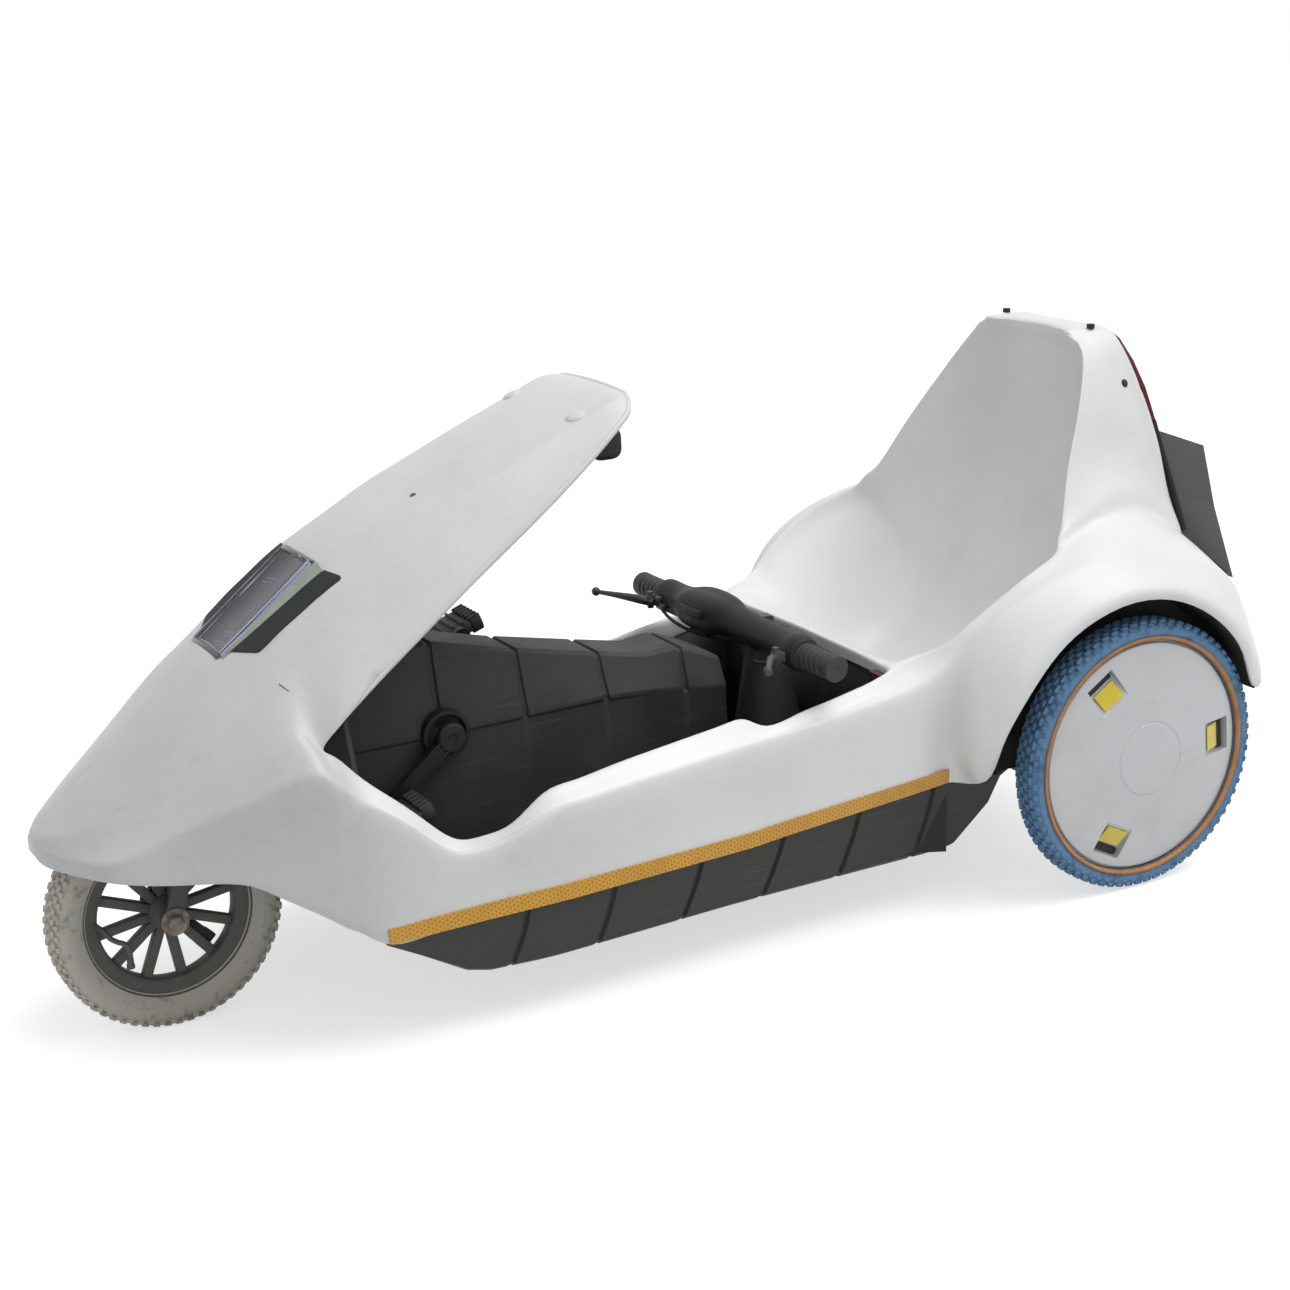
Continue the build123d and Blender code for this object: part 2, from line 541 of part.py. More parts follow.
# ---------------------------------------------------------------- frame, axle, motor and battery
frame_arm_y, frame_arm_width = 110.0, 20.0
spine_start, spine_end = front_x + 240, rear_x - 110
spine_top, spine_foot = spine_z + spine_height / 2, spine_z - spine_height / 2
battery_low, battery_size = 262.0, (165.0, 330.0, 165.0)
battery_x = rear_x + 118
with BuildPart() as chassis_spine:
    slab([(spine_start, spine_top - 1), (spine_start + 88, spine_foot), (spine_end, spine_foot), (spine_end, spine_top),
          (spine_start, spine_top)], -spine_width / 2, spine_width / 2)
    slab([(spine_start, spine_top - 1), (spine_start + 34, spine_top - 10), (spine_start + 12, 330),
          (crown.X + 8, 418), (crown.X + 8, 384), (spine_start - 12, 306)], -15, 15)
    rod(crown + up_the_fork * 7, crown + up_the_fork * (7 + head_length), steerer_radius + 6)
    rod(crown, crown + up_the_fork * (head_length + 30), steerer_radius + running_gap, Mode.SUBTRACT)
    slab([(crank_x - 15, spine_z), (crank_x + 15, spine_z), (crank_x + 15, crank_z), (crank_x - 15, crank_z)], -15, 15)
    rod((crank_x, -30, crank_z), (crank_x, 30, crank_z), crank_axle_radius + 14)
    rod((crank_x, -31, crank_z), (crank_x, 31, crank_z), crank_axle_radius + running_gap, Mode.SUBTRACT)
    slab([(spine_end - 30, spine_z - 18), (spine_end, spine_z - 18), (spine_end, spine_z + 18),
          (spine_end - 30, spine_z + 18)], -frame_arm_y - frame_arm_width / 2, frame_arm_y + frame_arm_width / 2)
    for _, side in sides:
        low, high = sorted((side * (frame_arm_y - frame_arm_width / 2), side * (frame_arm_y + frame_arm_width / 2)))
        slab([(spine_end - 30, spine_z - 18), (spine_end, spine_z - 18), (rear_x + 26, rear_tyre_radius - 22),
              (rear_x + 40, 240), (rear_x + 190, 240), (rear_x + 190, battery_low), (rear_x - 20, battery_low),
              (rear_x - 26, rear_tyre_radius + 16), (spine_end - 30, spine_z + 18)], low, high)
    rod((rear_x, -400, rear_tyre_radius), (rear_x, 400, rear_tyre_radius), rear_axle_radius, Mode.SUBTRACT)
save(chassis_spine, "chassis_spine")

with BuildPart() as rear_axle:
    rod((rear_x, -wheel_y - 15, rear_tyre_radius), (rear_x, wheel_y + 15, rear_tyre_radius), rear_axle_radius)
save(rear_axle, "rear_axle")

motor_radius = 50.0
motor_x = rear_x - 92
motor_z = bucket_levels[0][0] - shell - motor_radius - 3    # close under the seat
with BuildPart() as drive_motor:
    rod((motor_x, -212, motor_z), (motor_x, -126, motor_z), motor_radius)
    slab([(motor_x - 40, motor_z - 34), (rear_x + 24, rear_tyre_radius - 26),
          (rear_x + 24, rear_tyre_radius + 26), (motor_x - 40, motor_z + 34)], -236, -212)
    rod((rear_x, -300, rear_tyre_radius), (rear_x, 0, rear_tyre_radius), rear_axle_radius, Mode.SUBTRACT)
save(drive_motor, "drive_motor")

with BuildPart() as battery:
    with Locations((battery_x, 0, battery_low + battery_size[2] / 2)):
        Box(*battery_size)
save(battery, "battery")

# ---------------------------------------------------------------- seat bucket and the tower behind it
# side profile of the seat's rim, front to back: x from the rear axle | z
rim_profile = [(-352, 378), (-324, 388), (-288, 401), (-260, 423), (-228, 445), (-189, 469), (-143, 491),
               (-94, 506), (-73, 532), (-33, 608), (5, 673), (39, 738), (51, 770), (46, body_top + 1)]
# the tower's outer faces, columns: z | front x (from the rear axle), half width | half width at the rear face
tower_levels = [
    (440, -236, 272, 205), (470, -188, 280, 196), (506, -94, 266, 191), (532, -73, 245, 188),
    (608, -33, 211, 180), (673, 5, 184, 165), (738, 39, 152, 140), (770, 51, 126, 127), (body_top, 48, 100, 122),
]


def rear_face(z):
    """x of the tower's rear face at a height."""
    return rear_x + 125 + (775 - z) * rear_face_lean


def bucket(margin, mode=Mode.ADD):
    """The space inside the seat's inner face, grown by a margin. Used inside a part."""
    faces = []
    for z, front, middle, back, half_width, back_half_width in bucket_levels:
        corners = [(rear_x + front - margin, half_width + margin), (rear_x + middle, half_width + margin),
                   (rear_x + back + margin, back_half_width + margin)]
        if z == bucket_levels[0][0]:
            z -= margin
        faces.append(level(z, corners + [(x, -y) for x, y in reversed(corners)]))
    loft(faces, ruled=True, mode=mode)


def tower(margin, lower_to=None, mode=Mode.ADD):
    """The tower's outer block, shrunk by a margin, its foot stretched down if asked. Used inside a part."""
    rows = list(tower_levels)
    if lower_to is not None:
        rows = [(lower_to,) + rows[0][1:]] + rows
    faces = []
    for z, front, front_y, rear_y in rows:
        top = z - margin if z == body_top else z
        corners = [(rear_x + front, front_y - margin), (rear_face(z) - margin, rear_y - margin)]
        faces.append(level(top, corners + [(x, -y) for x, y in reversed(corners)]))
    loft(faces, ruled=True, mode=mode)


with BuildPart() as seat_shell:
    bucket(shell)
    bucket(0, Mode.SUBTRACT)
    behind_rim = [(rear_x + x, z) for x, z in rim_profile]
    behind_rim += [(rear_x + 200, body_top + 1), (rear_x + 200, 200), (rear_x - 352, 200)]
    slab(behind_rim, -320, 320, Mode.INTERSECT)
save(seat_shell, "seat_shell")

# opening in the rear face: z, half width
boot_low, boot_high = (482.0, 176.0), (622.0, 150.0)


def boot_space(x, length, margin=0.0, floor=None, mode=Mode.ADD):
    """A trapezoid block behind x, the boot opening drawn in by a margin. Used inside a part."""
    low_z = (floor or boot_low[0]) + margin
    corners = [(boot_low[1] - margin, low_z), (boot_low[1] - margin, boot_low[0]),
               (boot_high[1] - margin, boot_high[0] - margin)]
    if floor is None:
        corners = corners[:1] + corners[2:]
    extrude(across(x, [(-y, z) for y, z in corners] + list(reversed(corners))), amount=length, mode=mode)


with BuildPart() as tail_shell:
    tower(0)
    tower(shell, lower_to=400, mode=Mode.SUBTRACT)
    bucket(shell + seat_gap, Mode.SUBTRACT)
    slab([(rear_x - 300, 400), (rear_x - 128, 400), (rear_x - 128, 520), (rear_x - 300, 520)], -400, 400, Mode.SUBTRACT)
    boot_space(rear_x + 145, 200, mode=Mode.SUBTRACT)
save(tail_shell, "tail_shell")

# rear arches, columns: x from the rear axle | top y, z | shoulder y, z | side y, z | lip y, z | inner wall y
arch_sections = [
    (-290 + panel_joint, 264, 400, 281, 378, 287, 300, 273, 200, 262),
    (-240, 277, 437, 297, 425, 332, 330, 325, 215, 276),
    (-190, 283, 470, 306, 458, 358, 378, arch_y - 4, 232, 281),
    (-110, 276, 504, 312, 490, arch_y - 2, 425, arch_y, 232, 281),
    (-25, 246, 534, 312, 498, arch_y - 1, 435, arch_y, 232, 281),
    (60, 230, 540, 310, 482, arch_y - 2, 417, arch_y, 240, 281),
    (130, 208, 525, 308, 468, arch_y - 2, 385, arch_y, 255, 281),
    (180, 202, 496, 310, 448, arch_y - 6, 360, arch_y, 270, 281),
    (202, 204, 474, 312, 432, arch_y - 12, 350, arch_y - 1, 279, 281),
]
well_x, well_y = rear_x - 25, 284.0
for name, side in sides:
    with BuildPart() as rear_arch:
        faces = []
        for x, top_y, top_z, shoulder_y, shoulder_z, side_y, side_z, lip_y, lip_z, wall_y in arch_sections:
            outline = [(top_y, top_z), (shoulder_y, shoulder_z), (side_y, side_z), (lip_y, lip_z), (wall_y - 2, lip_z),
                       (min(wall_y - 2, top_y), top_z - 30)]
            faces.append(across(rear_x + x, [(side * y, z) for y, z in outline]))
        loft(faces, ruled=True)
        well_width = arch_y + 40 - well_y
        ring(well_x, rear_tyre_radius, side * (well_y + well_width / 2), arch_radius, 0, well_width, Mode.SUBTRACT)
        tower(-seat_gap, lower_to=439, mode=Mode.SUBTRACT)
        rod((rear_x, -wheel_y, rear_tyre_radius), (rear_x, wheel_y, rear_tyre_radius), rear_axle_radius + shell,
            Mode.SUBTRACT)
    save(rear_arch, f"{name}_rear_arch")

# ---------------------------------------------------------------- boot, tail lamp and small fittings
tub_wall, tub_front = 4.0, rear_x + 112
tub_floor = battery_low + battery_size[2] + 22
with BuildPart() as boot_tub:
    boot_space(tub_front, 200, seat_gap, floor=tub_floor)
    boot_space(tub_front + tub_wall, 200, tub_wall, floor=tub_floor, mode=Mode.SUBTRACT)
    sill_z = boot_low[0] + seat_gap
    slab([(rear_face(700) + 1, 700), (rear_face(sill_z) + 1, sill_z), (rear_face(sill_z) - 2 * shell, sill_z),
          (rear_face(400) - 2 * shell, 400), (rear_x + 400, 400), (rear_x + 400, 700)], -300, 300, Mode.SUBTRACT)
save(boot_tub, "boot_tub")

# the lid stands off the leaning rear face and its back is upright. Rows run down it, columns:
# front edge z, half width | back edge z, half width
lid_gap, lid_wall, lid_back = 4.0, 5.0, rear_x + tail_overhang
lid_rows = [(637, 172, 600, 172), (545, 186, 510, 200), (480, 194, 408, 246)]


def lid_face(front, front_y, back, back_y):
    """A face through two lines along Y: each end is (x, z) and a half width."""
    run = Vector(back[0] - front[0], 0, back[1] - front[1])
    plane = Plane(origin=(front[0], 0, front[1]), x_dir=(0, 1, 0), z_dir=Vector(0, 1, 0).cross(run))
    with BuildSketch(plane) as face:
        with BuildLine():
            reach = plane.to_local_coords(Vector(back[0], 0, back[1])).Y
            Polyline((-front_y, 0), (-back_y, reach), (back_y, reach), (front_y, 0), close=True)
        make_face()
    return face.sketch


hinge = (rear_face(646) + 2 * moving_gap, 646.0)
lug_y, lug_width, hinge_pin_radius = 104.0, 10.0, 3.0
with BuildPart() as boot_lid:
    faces, hollow = [], []
    for row, (z, front_y, back_z, back_y) in enumerate(lid_rows):
        front, back = (rear_face(z) + lid_gap, z), (lid_back, back_z)
        faces.append(lid_face(front, front_y, back, back_y))
        step = (-lid_wall, 0, lid_wall)[row]
        hollow.append(lid_face((front[0] - 2, front[1] + step), front_y - lid_wall,
                               (back[0] - lid_wall, back[1] + step), back_y - lid_wall))
    loft(faces, ruled=True)
    loft(hollow, ruled=True, mode=Mode.SUBTRACT)
    for _, side in sides:
        low, high = sorted((side * (lug_y - lug_width / 2), side * (lug_y + lug_width / 2)))
        slab([(hinge[0] - 3, lid_rows[0][0] - 2), (hinge[0] + 18, lid_rows[0][0] - 9), (hinge[0] + 6, hinge[1]),
              (hinge[0], hinge[1] + 6), (hinge[0] - 5, hinge[1])], low, high)
    rod((hinge[0], -200, hinge[1]), (hinge[0], 200, hinge[1]), hinge_pin_radius + running_gap, Mode.SUBTRACT)
save(boot_lid, "boot_lid")

with BuildPart() as boot_hinges:
    for _, side in sides:
        inner, outer = side * (lug_y + lug_width / 2 + 0.5), side * (lug_y + lug_width / 2 + 10)
        low, high = sorted((inner, outer))
        slab([(rear_face(650) + seat_gap, 650), (rear_face(642) + seat_gap, 642), (hinge[0] + 4, 642),
              (hinge[0] + 4, 650)], low, high)
        rod((hinge[0], side * (lug_y - lug_width / 2), hinge[1]), (hinge[0], outer, hinge[1]), hinge_pin_radius)
save(boot_hinges, "boot_hinges")

with BuildPart() as tail_lamp:
    face = [(rear_face(z) + seat_gap, z) for z in (body_top - 18, 656)]
    slab(face + [(x + 6, z) for x, z in reversed(face)], -90, 90)
save(tail_lamp, "tail_lamp")

stud_x, stud_y, stud_radius = rear_x + 90, 104.0, 6.0
with BuildPart() as seat_back_studs:
    for _, side in sides:
        rod((stud_x, side * stud_y, body_top), (stud_x, side * stud_y, body_top + stud_height), stud_radius)
save(seat_back_studs, "seat_back_studs")

with BuildPart() as switch_box:
    with Locations((rear_x - 370, -243 + seat_gap + 15, 352)):
        Box(26, 30, 30)
    fillet(switch_box.edges().filter_by(Axis.Z), 3)
save(switch_box, "switch_box")

# ---------------------------------------------------------------- cranks and pedals
arm_inner, arm_thickness = tunnel_sections[3][5] + moving_gap + 0.5, 11.5
pedal_inner = arm_inner + arm_thickness + moving_gap
pedal_outer = pedal_inner + 68
arm_direction = {"left": 180 + crank_angle, "right": crank_angle}
with BuildPart() as crankset:
    rod((crank_x, -arm_inner - arm_thickness, crank_z), (crank_x, arm_inner + arm_thickness, crank_z),
        crank_axle_radius)
    for name, side in sides:
        turn = radians(arm_direction[name])
        eye = (crank_x + crank_arm * cos(turn), crank_z + crank_arm * sin(turn))
        middle = side * (arm_inner + arm_thickness / 2)
        ring(crank_x, crank_z, middle, 17, 0, arm_thickness)
        ring(eye[0], eye[1], middle, 12, 0, arm_thickness)
        low, high = sorted((side * arm_inner, side * (arm_inner + arm_thickness)))
        dx, dz = 9 * sin(turn), 9 * cos(turn)
        slab([(crank_x + dx, crank_z - dz), (eye[0] + dx, eye[1] - dz), (eye[0] - dx, eye[1] + dz),
              (crank_x - dx, crank_z + dz)], low, high)
        rod((eye[0], middle, eye[1]), (eye[0], side * pedal_outer, eye[1]), pedal_spindle_radius)
save(crankset, "crankset")

for name, side in sides:
    turn = radians(arm_direction[name])
    eye = (crank_x + crank_arm * cos(turn), crank_z + crank_arm * sin(turn))
    with BuildPart() as pedal:
        low, high = sorted((side * pedal_inner, side * pedal_outer))
        slab([(eye[0] + along * pedal_half_length, eye[1] + up * pedal_half_height)
              for along, up in ((-1, -1), (1, -1), (1, 1), (-1, 1))], low, high)
        rod((eye[0], side * (pedal_inner - 1), eye[1]), (eye[0], side * (pedal_outer + 1), eye[1]),
            pedal_spindle_radius + running_gap, Mode.SUBTRACT)
    save(pedal, f"{name}_pedal")
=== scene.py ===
"""A low three-wheeled car with pedals: the studio and camera, then every piece in the order it is built up."""

from math import atan2, cos, degrees, pi, radians, sin

import bmesh
import bpy
from mathutils import Matrix, Vector
from mathutils.bvhtree import BVHTree


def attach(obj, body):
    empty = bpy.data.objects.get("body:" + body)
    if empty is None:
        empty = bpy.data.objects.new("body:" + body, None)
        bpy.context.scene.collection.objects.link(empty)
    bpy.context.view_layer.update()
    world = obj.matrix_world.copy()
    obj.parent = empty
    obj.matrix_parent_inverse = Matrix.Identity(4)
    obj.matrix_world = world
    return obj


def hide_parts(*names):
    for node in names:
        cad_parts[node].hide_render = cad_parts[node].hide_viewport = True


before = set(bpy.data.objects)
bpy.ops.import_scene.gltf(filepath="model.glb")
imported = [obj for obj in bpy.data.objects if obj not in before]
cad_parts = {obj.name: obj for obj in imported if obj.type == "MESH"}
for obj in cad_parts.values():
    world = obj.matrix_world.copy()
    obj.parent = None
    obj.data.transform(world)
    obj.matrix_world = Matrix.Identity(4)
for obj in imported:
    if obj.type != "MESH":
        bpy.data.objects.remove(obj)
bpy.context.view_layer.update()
scene = bpy.context.scene
scene.view_settings.view_transform = "Standard"

# ---------------------------------------------------------------- studio and camera
# A pale seamless floor under soft daylight from above and in front. The camera looks down over the
# left side of the nose, a few metres away, turned a little about its own line of sight.
PALE = (0.62, 0.62, 0.62, 1.0)
cam_azimuth, cam_elevation, cam_roll = radians(27.578), radians(16.473), radians(-2.436)
cam_distance, cam_target = 3.455, Vector((0.0174, 0.0, 0.3971))
back = Vector((-sin(cam_azimuth) * cos(cam_elevation), -cos(cam_azimuth) * cos(cam_elevation), sin(cam_elevation)))
level_right = (-back).cross(Vector((0, 0, 1))).normalized()
level_up = level_right.cross(-back)
turned_right = level_right * cos(cam_roll) + level_up * sin(cam_roll)
turned_up = level_up * cos(cam_roll) - level_right * sin(cam_roll)
lens = bpy.data.cameras.new("camera")
lens.lens, lens.sensor_width = 66.94, 36.0
camera = bpy.data.objects.new("camera", lens)
scene.collection.objects.link(camera)
camera.matrix_world = Matrix((turned_right, turned_up, back)).transposed().to_4x4()
camera.location = cam_target + back * cam_distance
lens.clip_start, lens.clip_end = 0.1, 60.0
scene.camera = camera

bm = bmesh.new()
bmesh.ops.create_grid(bm, x_segments=8, y_segments=8, size=14)
floor_mesh = bpy.data.meshes.new("floor")
bm.to_mesh(floor_mesh)
bm.free()
floor = bpy.data.objects.new("floor", floor_mesh)
scene.collection.objects.link(floor)
paint = bpy.data.materials.new("pale_floor")
paint.use_nodes = True
nodes, links = paint.node_tree.nodes, paint.node_tree.links
board = nodes["Principled BSDF"]
board.inputs["Base Color"].default_value = PALE
board.inputs["Roughness"].default_value = 0.9
# the camera, metal and glass see the floor and the world as white, and the floor still holds the car's shadow
FLOOR_GLOW = 0.62


def seen_rays(nodes, links):
    """1 on the rays that the camera, a reflection or glass sees, 0 on those that light the car."""
    path = nodes.new("ShaderNodeLightPath")
    seen = path.outputs["Is Camera Ray"]
    for ray in ("Is Glossy Ray", "Is Transmission Ray"):
        most = nodes.new("ShaderNodeMath")
        most.operation = "MAXIMUM"
        links.new(seen, most.inputs[0])
        links.new(path.outputs[ray], most.inputs[1])
        seen = most.outputs["Value"]
    return seen


dimmed = nodes.new("ShaderNodeMath")
dimmed.operation = "MULTIPLY"
dimmed.inputs[1].default_value = FLOOR_GLOW
links.new(seen_rays(nodes, links), dimmed.inputs[0])
board.inputs["Emission Color"].default_value = (1, 1, 1, 1)
links.new(dimmed.outputs["Value"], board.inputs["Emission Strength"])
floor.data.materials.append(paint)

world = bpy.data.worlds.new("studio")
scene.world = world
world.use_nodes = True
nodes, links = world.node_tree.nodes, world.node_tree.links
backdrop = nodes["Background"]
backdrop.inputs["Color"].default_value = (0.95, 0.975, 1.0, 1.0)
backdrop.inputs["Strength"].default_value = 0.40
white = nodes.new("ShaderNodeBackground")
white.inputs["Color"].default_value = (1, 1, 1, 1)
choose = nodes.new("ShaderNodeMixShader")
links.new(seen_rays(nodes, links), choose.inputs["Fac"])
links.new(backdrop.outputs["Background"], choose.inputs[1])
links.new(white.outputs["Background"], choose.inputs[2])
links.new(choose.outputs["Shader"], nodes["World Output"].inputs["Surface"])
for name, towards, spread, power in (("roof_light", (0.36, -0.24, 0.9), 50.0, 2.0),
                                     ("front_light", (-0.6, -0.45, 0.66), 60.0, 0.35)):
    daylight = bpy.data.lights.new(name, "SUN")
    daylight.energy, daylight.angle = power, radians(spread)
    lamp = bpy.data.objects.new(name, daylight)
    lamp.rotation_euler = Vector(towards).to_track_quat("Z", "Y").to_euler()
    scene.collection.objects.link(lamp)

# ---------------------------------------------------------------- body shell
# One moulded shell of white polypropylene, 5 mm thick: nose, hood over the legs, low sides with a rim
# turned in round the footwell, bucket seat, tower behind it and the arches over the rear wheels.
MM = 0.001
FRONT_X, REAR_X = -721.0, 644.0            # the axles
TIP_Z, TIP_LOW = 284.0, 277.4
SHARP = 3.0
FOLD = 5.5                                 # from a fold's line to where it starts to turn
WALL = 0.005


def mixed(a, b, share):
    """The point at a share of the way from a to b."""
    return tuple(p + (q - p) * share for p, q in zip(a, b))


def stepped(a, b, step, most=0.35):
    """The point a step from a towards b, at most that share of the way."""
    return mixed(a, b, min(step / max((Vector(b) - Vector(a)).length, 1e-6), most))


def filled(table, gap):
    """A table with rows added on the straight lines between its own, so that none are further apart than the gap."""
    rows = []
    for low, high in zip(table, table[1:]):
        parts = int((high[0] - low[0]) // gap) + 1
        rows += [mixed(low, high, part / parts) for part in range(parts)]
    return rows + [table[-1]]


def lay_grid(bm, rows):
    """A grid of faces laid through rows of points in millimetres."""
    made = bmesh.ops.create_grid(bm, x_segments=len(rows[0]) - 1, y_segments=len(rows) - 1, size=1)["verts"]
    for corner, point in zip(made, [point for row in rows for point in row]):
        corner.co = Vector(point) * MM
    return made


def mirrored(bm, seam=0.0003, slivers=None):
    """Adds the other half of a mesh made on one side, closes the seam and turns its faces the same way."""
    bmesh.ops.mirror(bm, geom=bm.verts[:] + bm.edges[:] + bm.faces[:], axis="Y", merge_dist=0.0004)
    bmesh.ops.remove_doubles(bm, verts=bm.verts, dist=seam)
    if slivers:
        bmesh.ops.dissolve_degenerate(bm, dist=slivers, edges=bm.edges)
    bmesh.ops.recalc_face_normals(bm, faces=bm.faces)


def walled(piece, thickness, offset=-1.0):
    """Gives a surface its wall thickness, inwards unless the offset says otherwise."""
    wall = piece.modifiers.new("wall", "SOLIDIFY")
    wall.thickness, wall.offset = thickness, offset


def soften(piece, width, angle=None):
    """Rounds a piece's edges that turn more than the angle in degrees."""
    edge = piece.modifiers.new("round", "BEVEL")
    edge.width, edge.segments, edge.limit_method = width, 2, "ANGLE"
    if angle:
        edge.angle_limit = radians(angle)


# columns: x from the front axle | crest z | crease y, z | chine y, z | lower edge y, z
NOSE = [
    (-162, 300, 16, 298, 27, 288, 23, 272), (-156, 306, 28, 302, 46, 287, 40, 268),
    (-143, 318, 46, 310, 72, 286, 66, 266), (-122, 336, 70, 318, 108, 286, 100, 265),
    (-92, 362, 98, 332, 138, 290, 140, 264), (-30, 412, 113, 381, 159, 317, 170, 258),
    (50, 481, 114, 456, 197, 354, 208, 254), (78, 503, 114, 478, 212, 367, 222, 240),
    (140, 544, 113, 527, 240, 398, 256, 203), (163, 560, 112, 546, 254, 381, 267, 187),
]
# columns: x from the front axle | crest z | crease y, z | lower edge y, z
HOOD = [
    (190, 580, 111, 565, 216, 445), (238, 613, 110, 599, 208, 484), (311, 652, 115, 636, 200, 535),
    (373, 680, 117, 668, 193, 580),
    (435, 706, 120, 693, 185, 620), (520, 742, 120, 729, 172, 674), (590, 770, 117, 758, 160, 723),
    (632, 784, 117, 776, 147, 753), (656, 789, 112, 784, 136, 768), (676, 790, 92, 787, 124, 775),
]
REAR_ROUNDING = 0.006                      # how the hood's rear corners run forward outside y 80
# columns: x | inner rim y, z | outer fold y, z | lower edge y, z
SIDE = [(FRONT_X + x, *rest) for x, *rest in [
    (172, 219, 412, 255, 374, 271, 184), (205, 225, 376, 262, 346, 290, 165), (262, 226, 326, 265, 300, 291, 166),
    (307, 228, 282, 268, 260, 292, 168),
    (335, 228, 262, 268, 257, 293, 169), (370, 228, 261, 268, 260, 293, 169), (407, 228, 267, 268, 271, 294, 170),
    (460, 228, 305, 266, 288, 295, 171), (580, 228, 325, 266, 300, 292, 175),
]] + [(REAR_X + x, *rest) for x, *rest in [
    (-628, 228, 346, 266, 314, 289, 179), (-600, 228, 348, 266, 317, 288, 181), (-577, 245, 336, 267, 319, 287, 183),
    (-470, 244, 354, 270, 331, 282, 189), (-410, 243, 366, 271, 339, 280, 193), (-367, 243, 375, 272, 345, 278, 195),
    (-324, 244, 388, 276, 358, 275, 197), (-288, 262, 401, 281, 380, 273, 199),
]]
# the seat, columns: rim x, y, z | side wall x, y, z | foot of the wall x, y, z | middle x, z   (x from the rear axle)
SEAT = [
    (-367, 243, 375, -367, 225, 376, -367, 150, 378, -367, 380),
    (-324, 244, 388, -322, 226, 372, -322, 170, 350, -324, 348),
    (-288, 262, 401, -285, 238, 380, -283, 168, 315, -284, 308),
    (-260, 272, 423, -255, 246, 398, -248, 160, 290, -250, 276),
    (-228, 277, 445, -221, 252, 415, -208, 150, 274, -210, 262),
    (-189, 282, 469, -180, 258, 438, -158, 150, 272, -160, 262),
    (-143, 280, 491, -130, 258, 460, -95, 150, 300, -100, 284), (-94, 266, 506, -80, 248, 480, -40, 150, 365, -46, 350),
    (-73, 245, 532, -56, 228, 512, 4, 148, 455, 0, 442), (-33, 211, 608, -18, 196, 600, 52, 132, 572, 52, 560),
    (5, 184, 673, 18, 170, 668, 72, 112, 650, 76, 640), (39, 152, 738, 48, 141, 733, 84, 88, 724, 88, 716),
    (51, 124, 770, 58, 112, 764, 78, 74, 761, 84, 756), (48, 100, 784, 54, 88, 784, 68, 62, 784, 74, 784),
]
# the tower's side, rows upwards from the arch. In each: x, y, z from the rim to the rear corner
TOWER = [
    [(-94, 266, 506), (-25, 246, 534), (60, 230, 540), (130, 208, 523), (183, 202, 486), (195, 200, 466)],
    [(-73, 245, 532), (-5, 232, 560), (72, 214, 572), (128, 198, 560), (162, 189, 545), (179, 187, 530)],
    [(-33, 211, 608), (15, 203, 608), (70, 195, 608), (118, 188, 608), (148, 182, 608), (162, 180, 608)],
    [(5, 184, 673), (45, 180, 673), (85, 174, 673), (115, 169, 673), (137, 166, 673), (147, 165, 673)],
    [(39, 152, 738), (65, 150, 738), (90, 147, 738), (110, 144, 738), (126, 141, 738), (133, 140, 738)],
    [(51, 124, 770), (70, 126, 770), (90, 127, 770), (108, 127, 770), (119, 126, 770), (126, 121, 770)],
    [(48, 100, 785), (66, 104, 786), (85, 108, 786), (103, 110, 786), (115, 107, 786), (122, 98, 786)],
]
# the arch over a wheel, columns: shoulder x, y, z | angle of the lip round the wheel, its y
ARCH = [
    (-260, 290, 407, 180, 312), (-228, 299, 434, 165, 345), (-189, 306, 458, 150, 362), (-143, 310, 478, 133, 367.5),
    (-94, 312, 492, 116, 368.5), (-25, 312, 498, 92, 368.5), (60, 310, 482, 70, 368.5), (130, 308, 468, 50, 368.5),
    (180, 310, 440, 32, 368.5), (201, 312, 420, 17, 368),
]
ARCH_X, ARCH_Z, ARCH_RADIUS, ARCH_RISE, LIP_DEPTH = -25.0, 203.0, 230.0, 1.05, 18.0
# where the tower's first row above the arch lies, as shares of the way to the next one up
TOWER_FOOT = (0.5, 0.5, 0.48, 0.4, 0.22, 0.12)
# the rear face under the top: y of the boot opening's edge in each of the tower's rows
BOOT_EDGE = [178, 177, 168, 152, 110, 92, 80, 62]


def fold_row(x, upper, fold, lower, sharp=FOLD, lead=12):
    """Points down a side: its top edge, then both sides of the fold, the middle of the wall, its lower edge."""
    upper, fold, lower = ((x, *p) if len(p) == 2 else p for p in (upper, fold, lower))
    return [upper, stepped(upper, fold, lead), stepped(fold, upper, sharp), stepped(fold, lower, sharp),
            mixed(fold, lower, 0.55), lower]


def over_hood(x, top, crease, edge):
    """Points across half the hood: arched from its crest to the crease, then straight down to the edge."""
    arched = (x, crease[1] / 2, crease[2] + 0.72 * (top[2] - crease[2]))
    return [top, arched, stepped(crease, arched, SHARP), stepped(crease, edge, SHARP), mixed(crease, edge, 0.5), edge]


def lip_point(angle, y, beyond=0.0):
    radius = ARCH_RADIUS + beyond
    return (REAR_X + ARCH_X + radius * cos(radians(angle)), y, ARCH_Z + ARCH_RISE * radius * sin(radians(angle)))


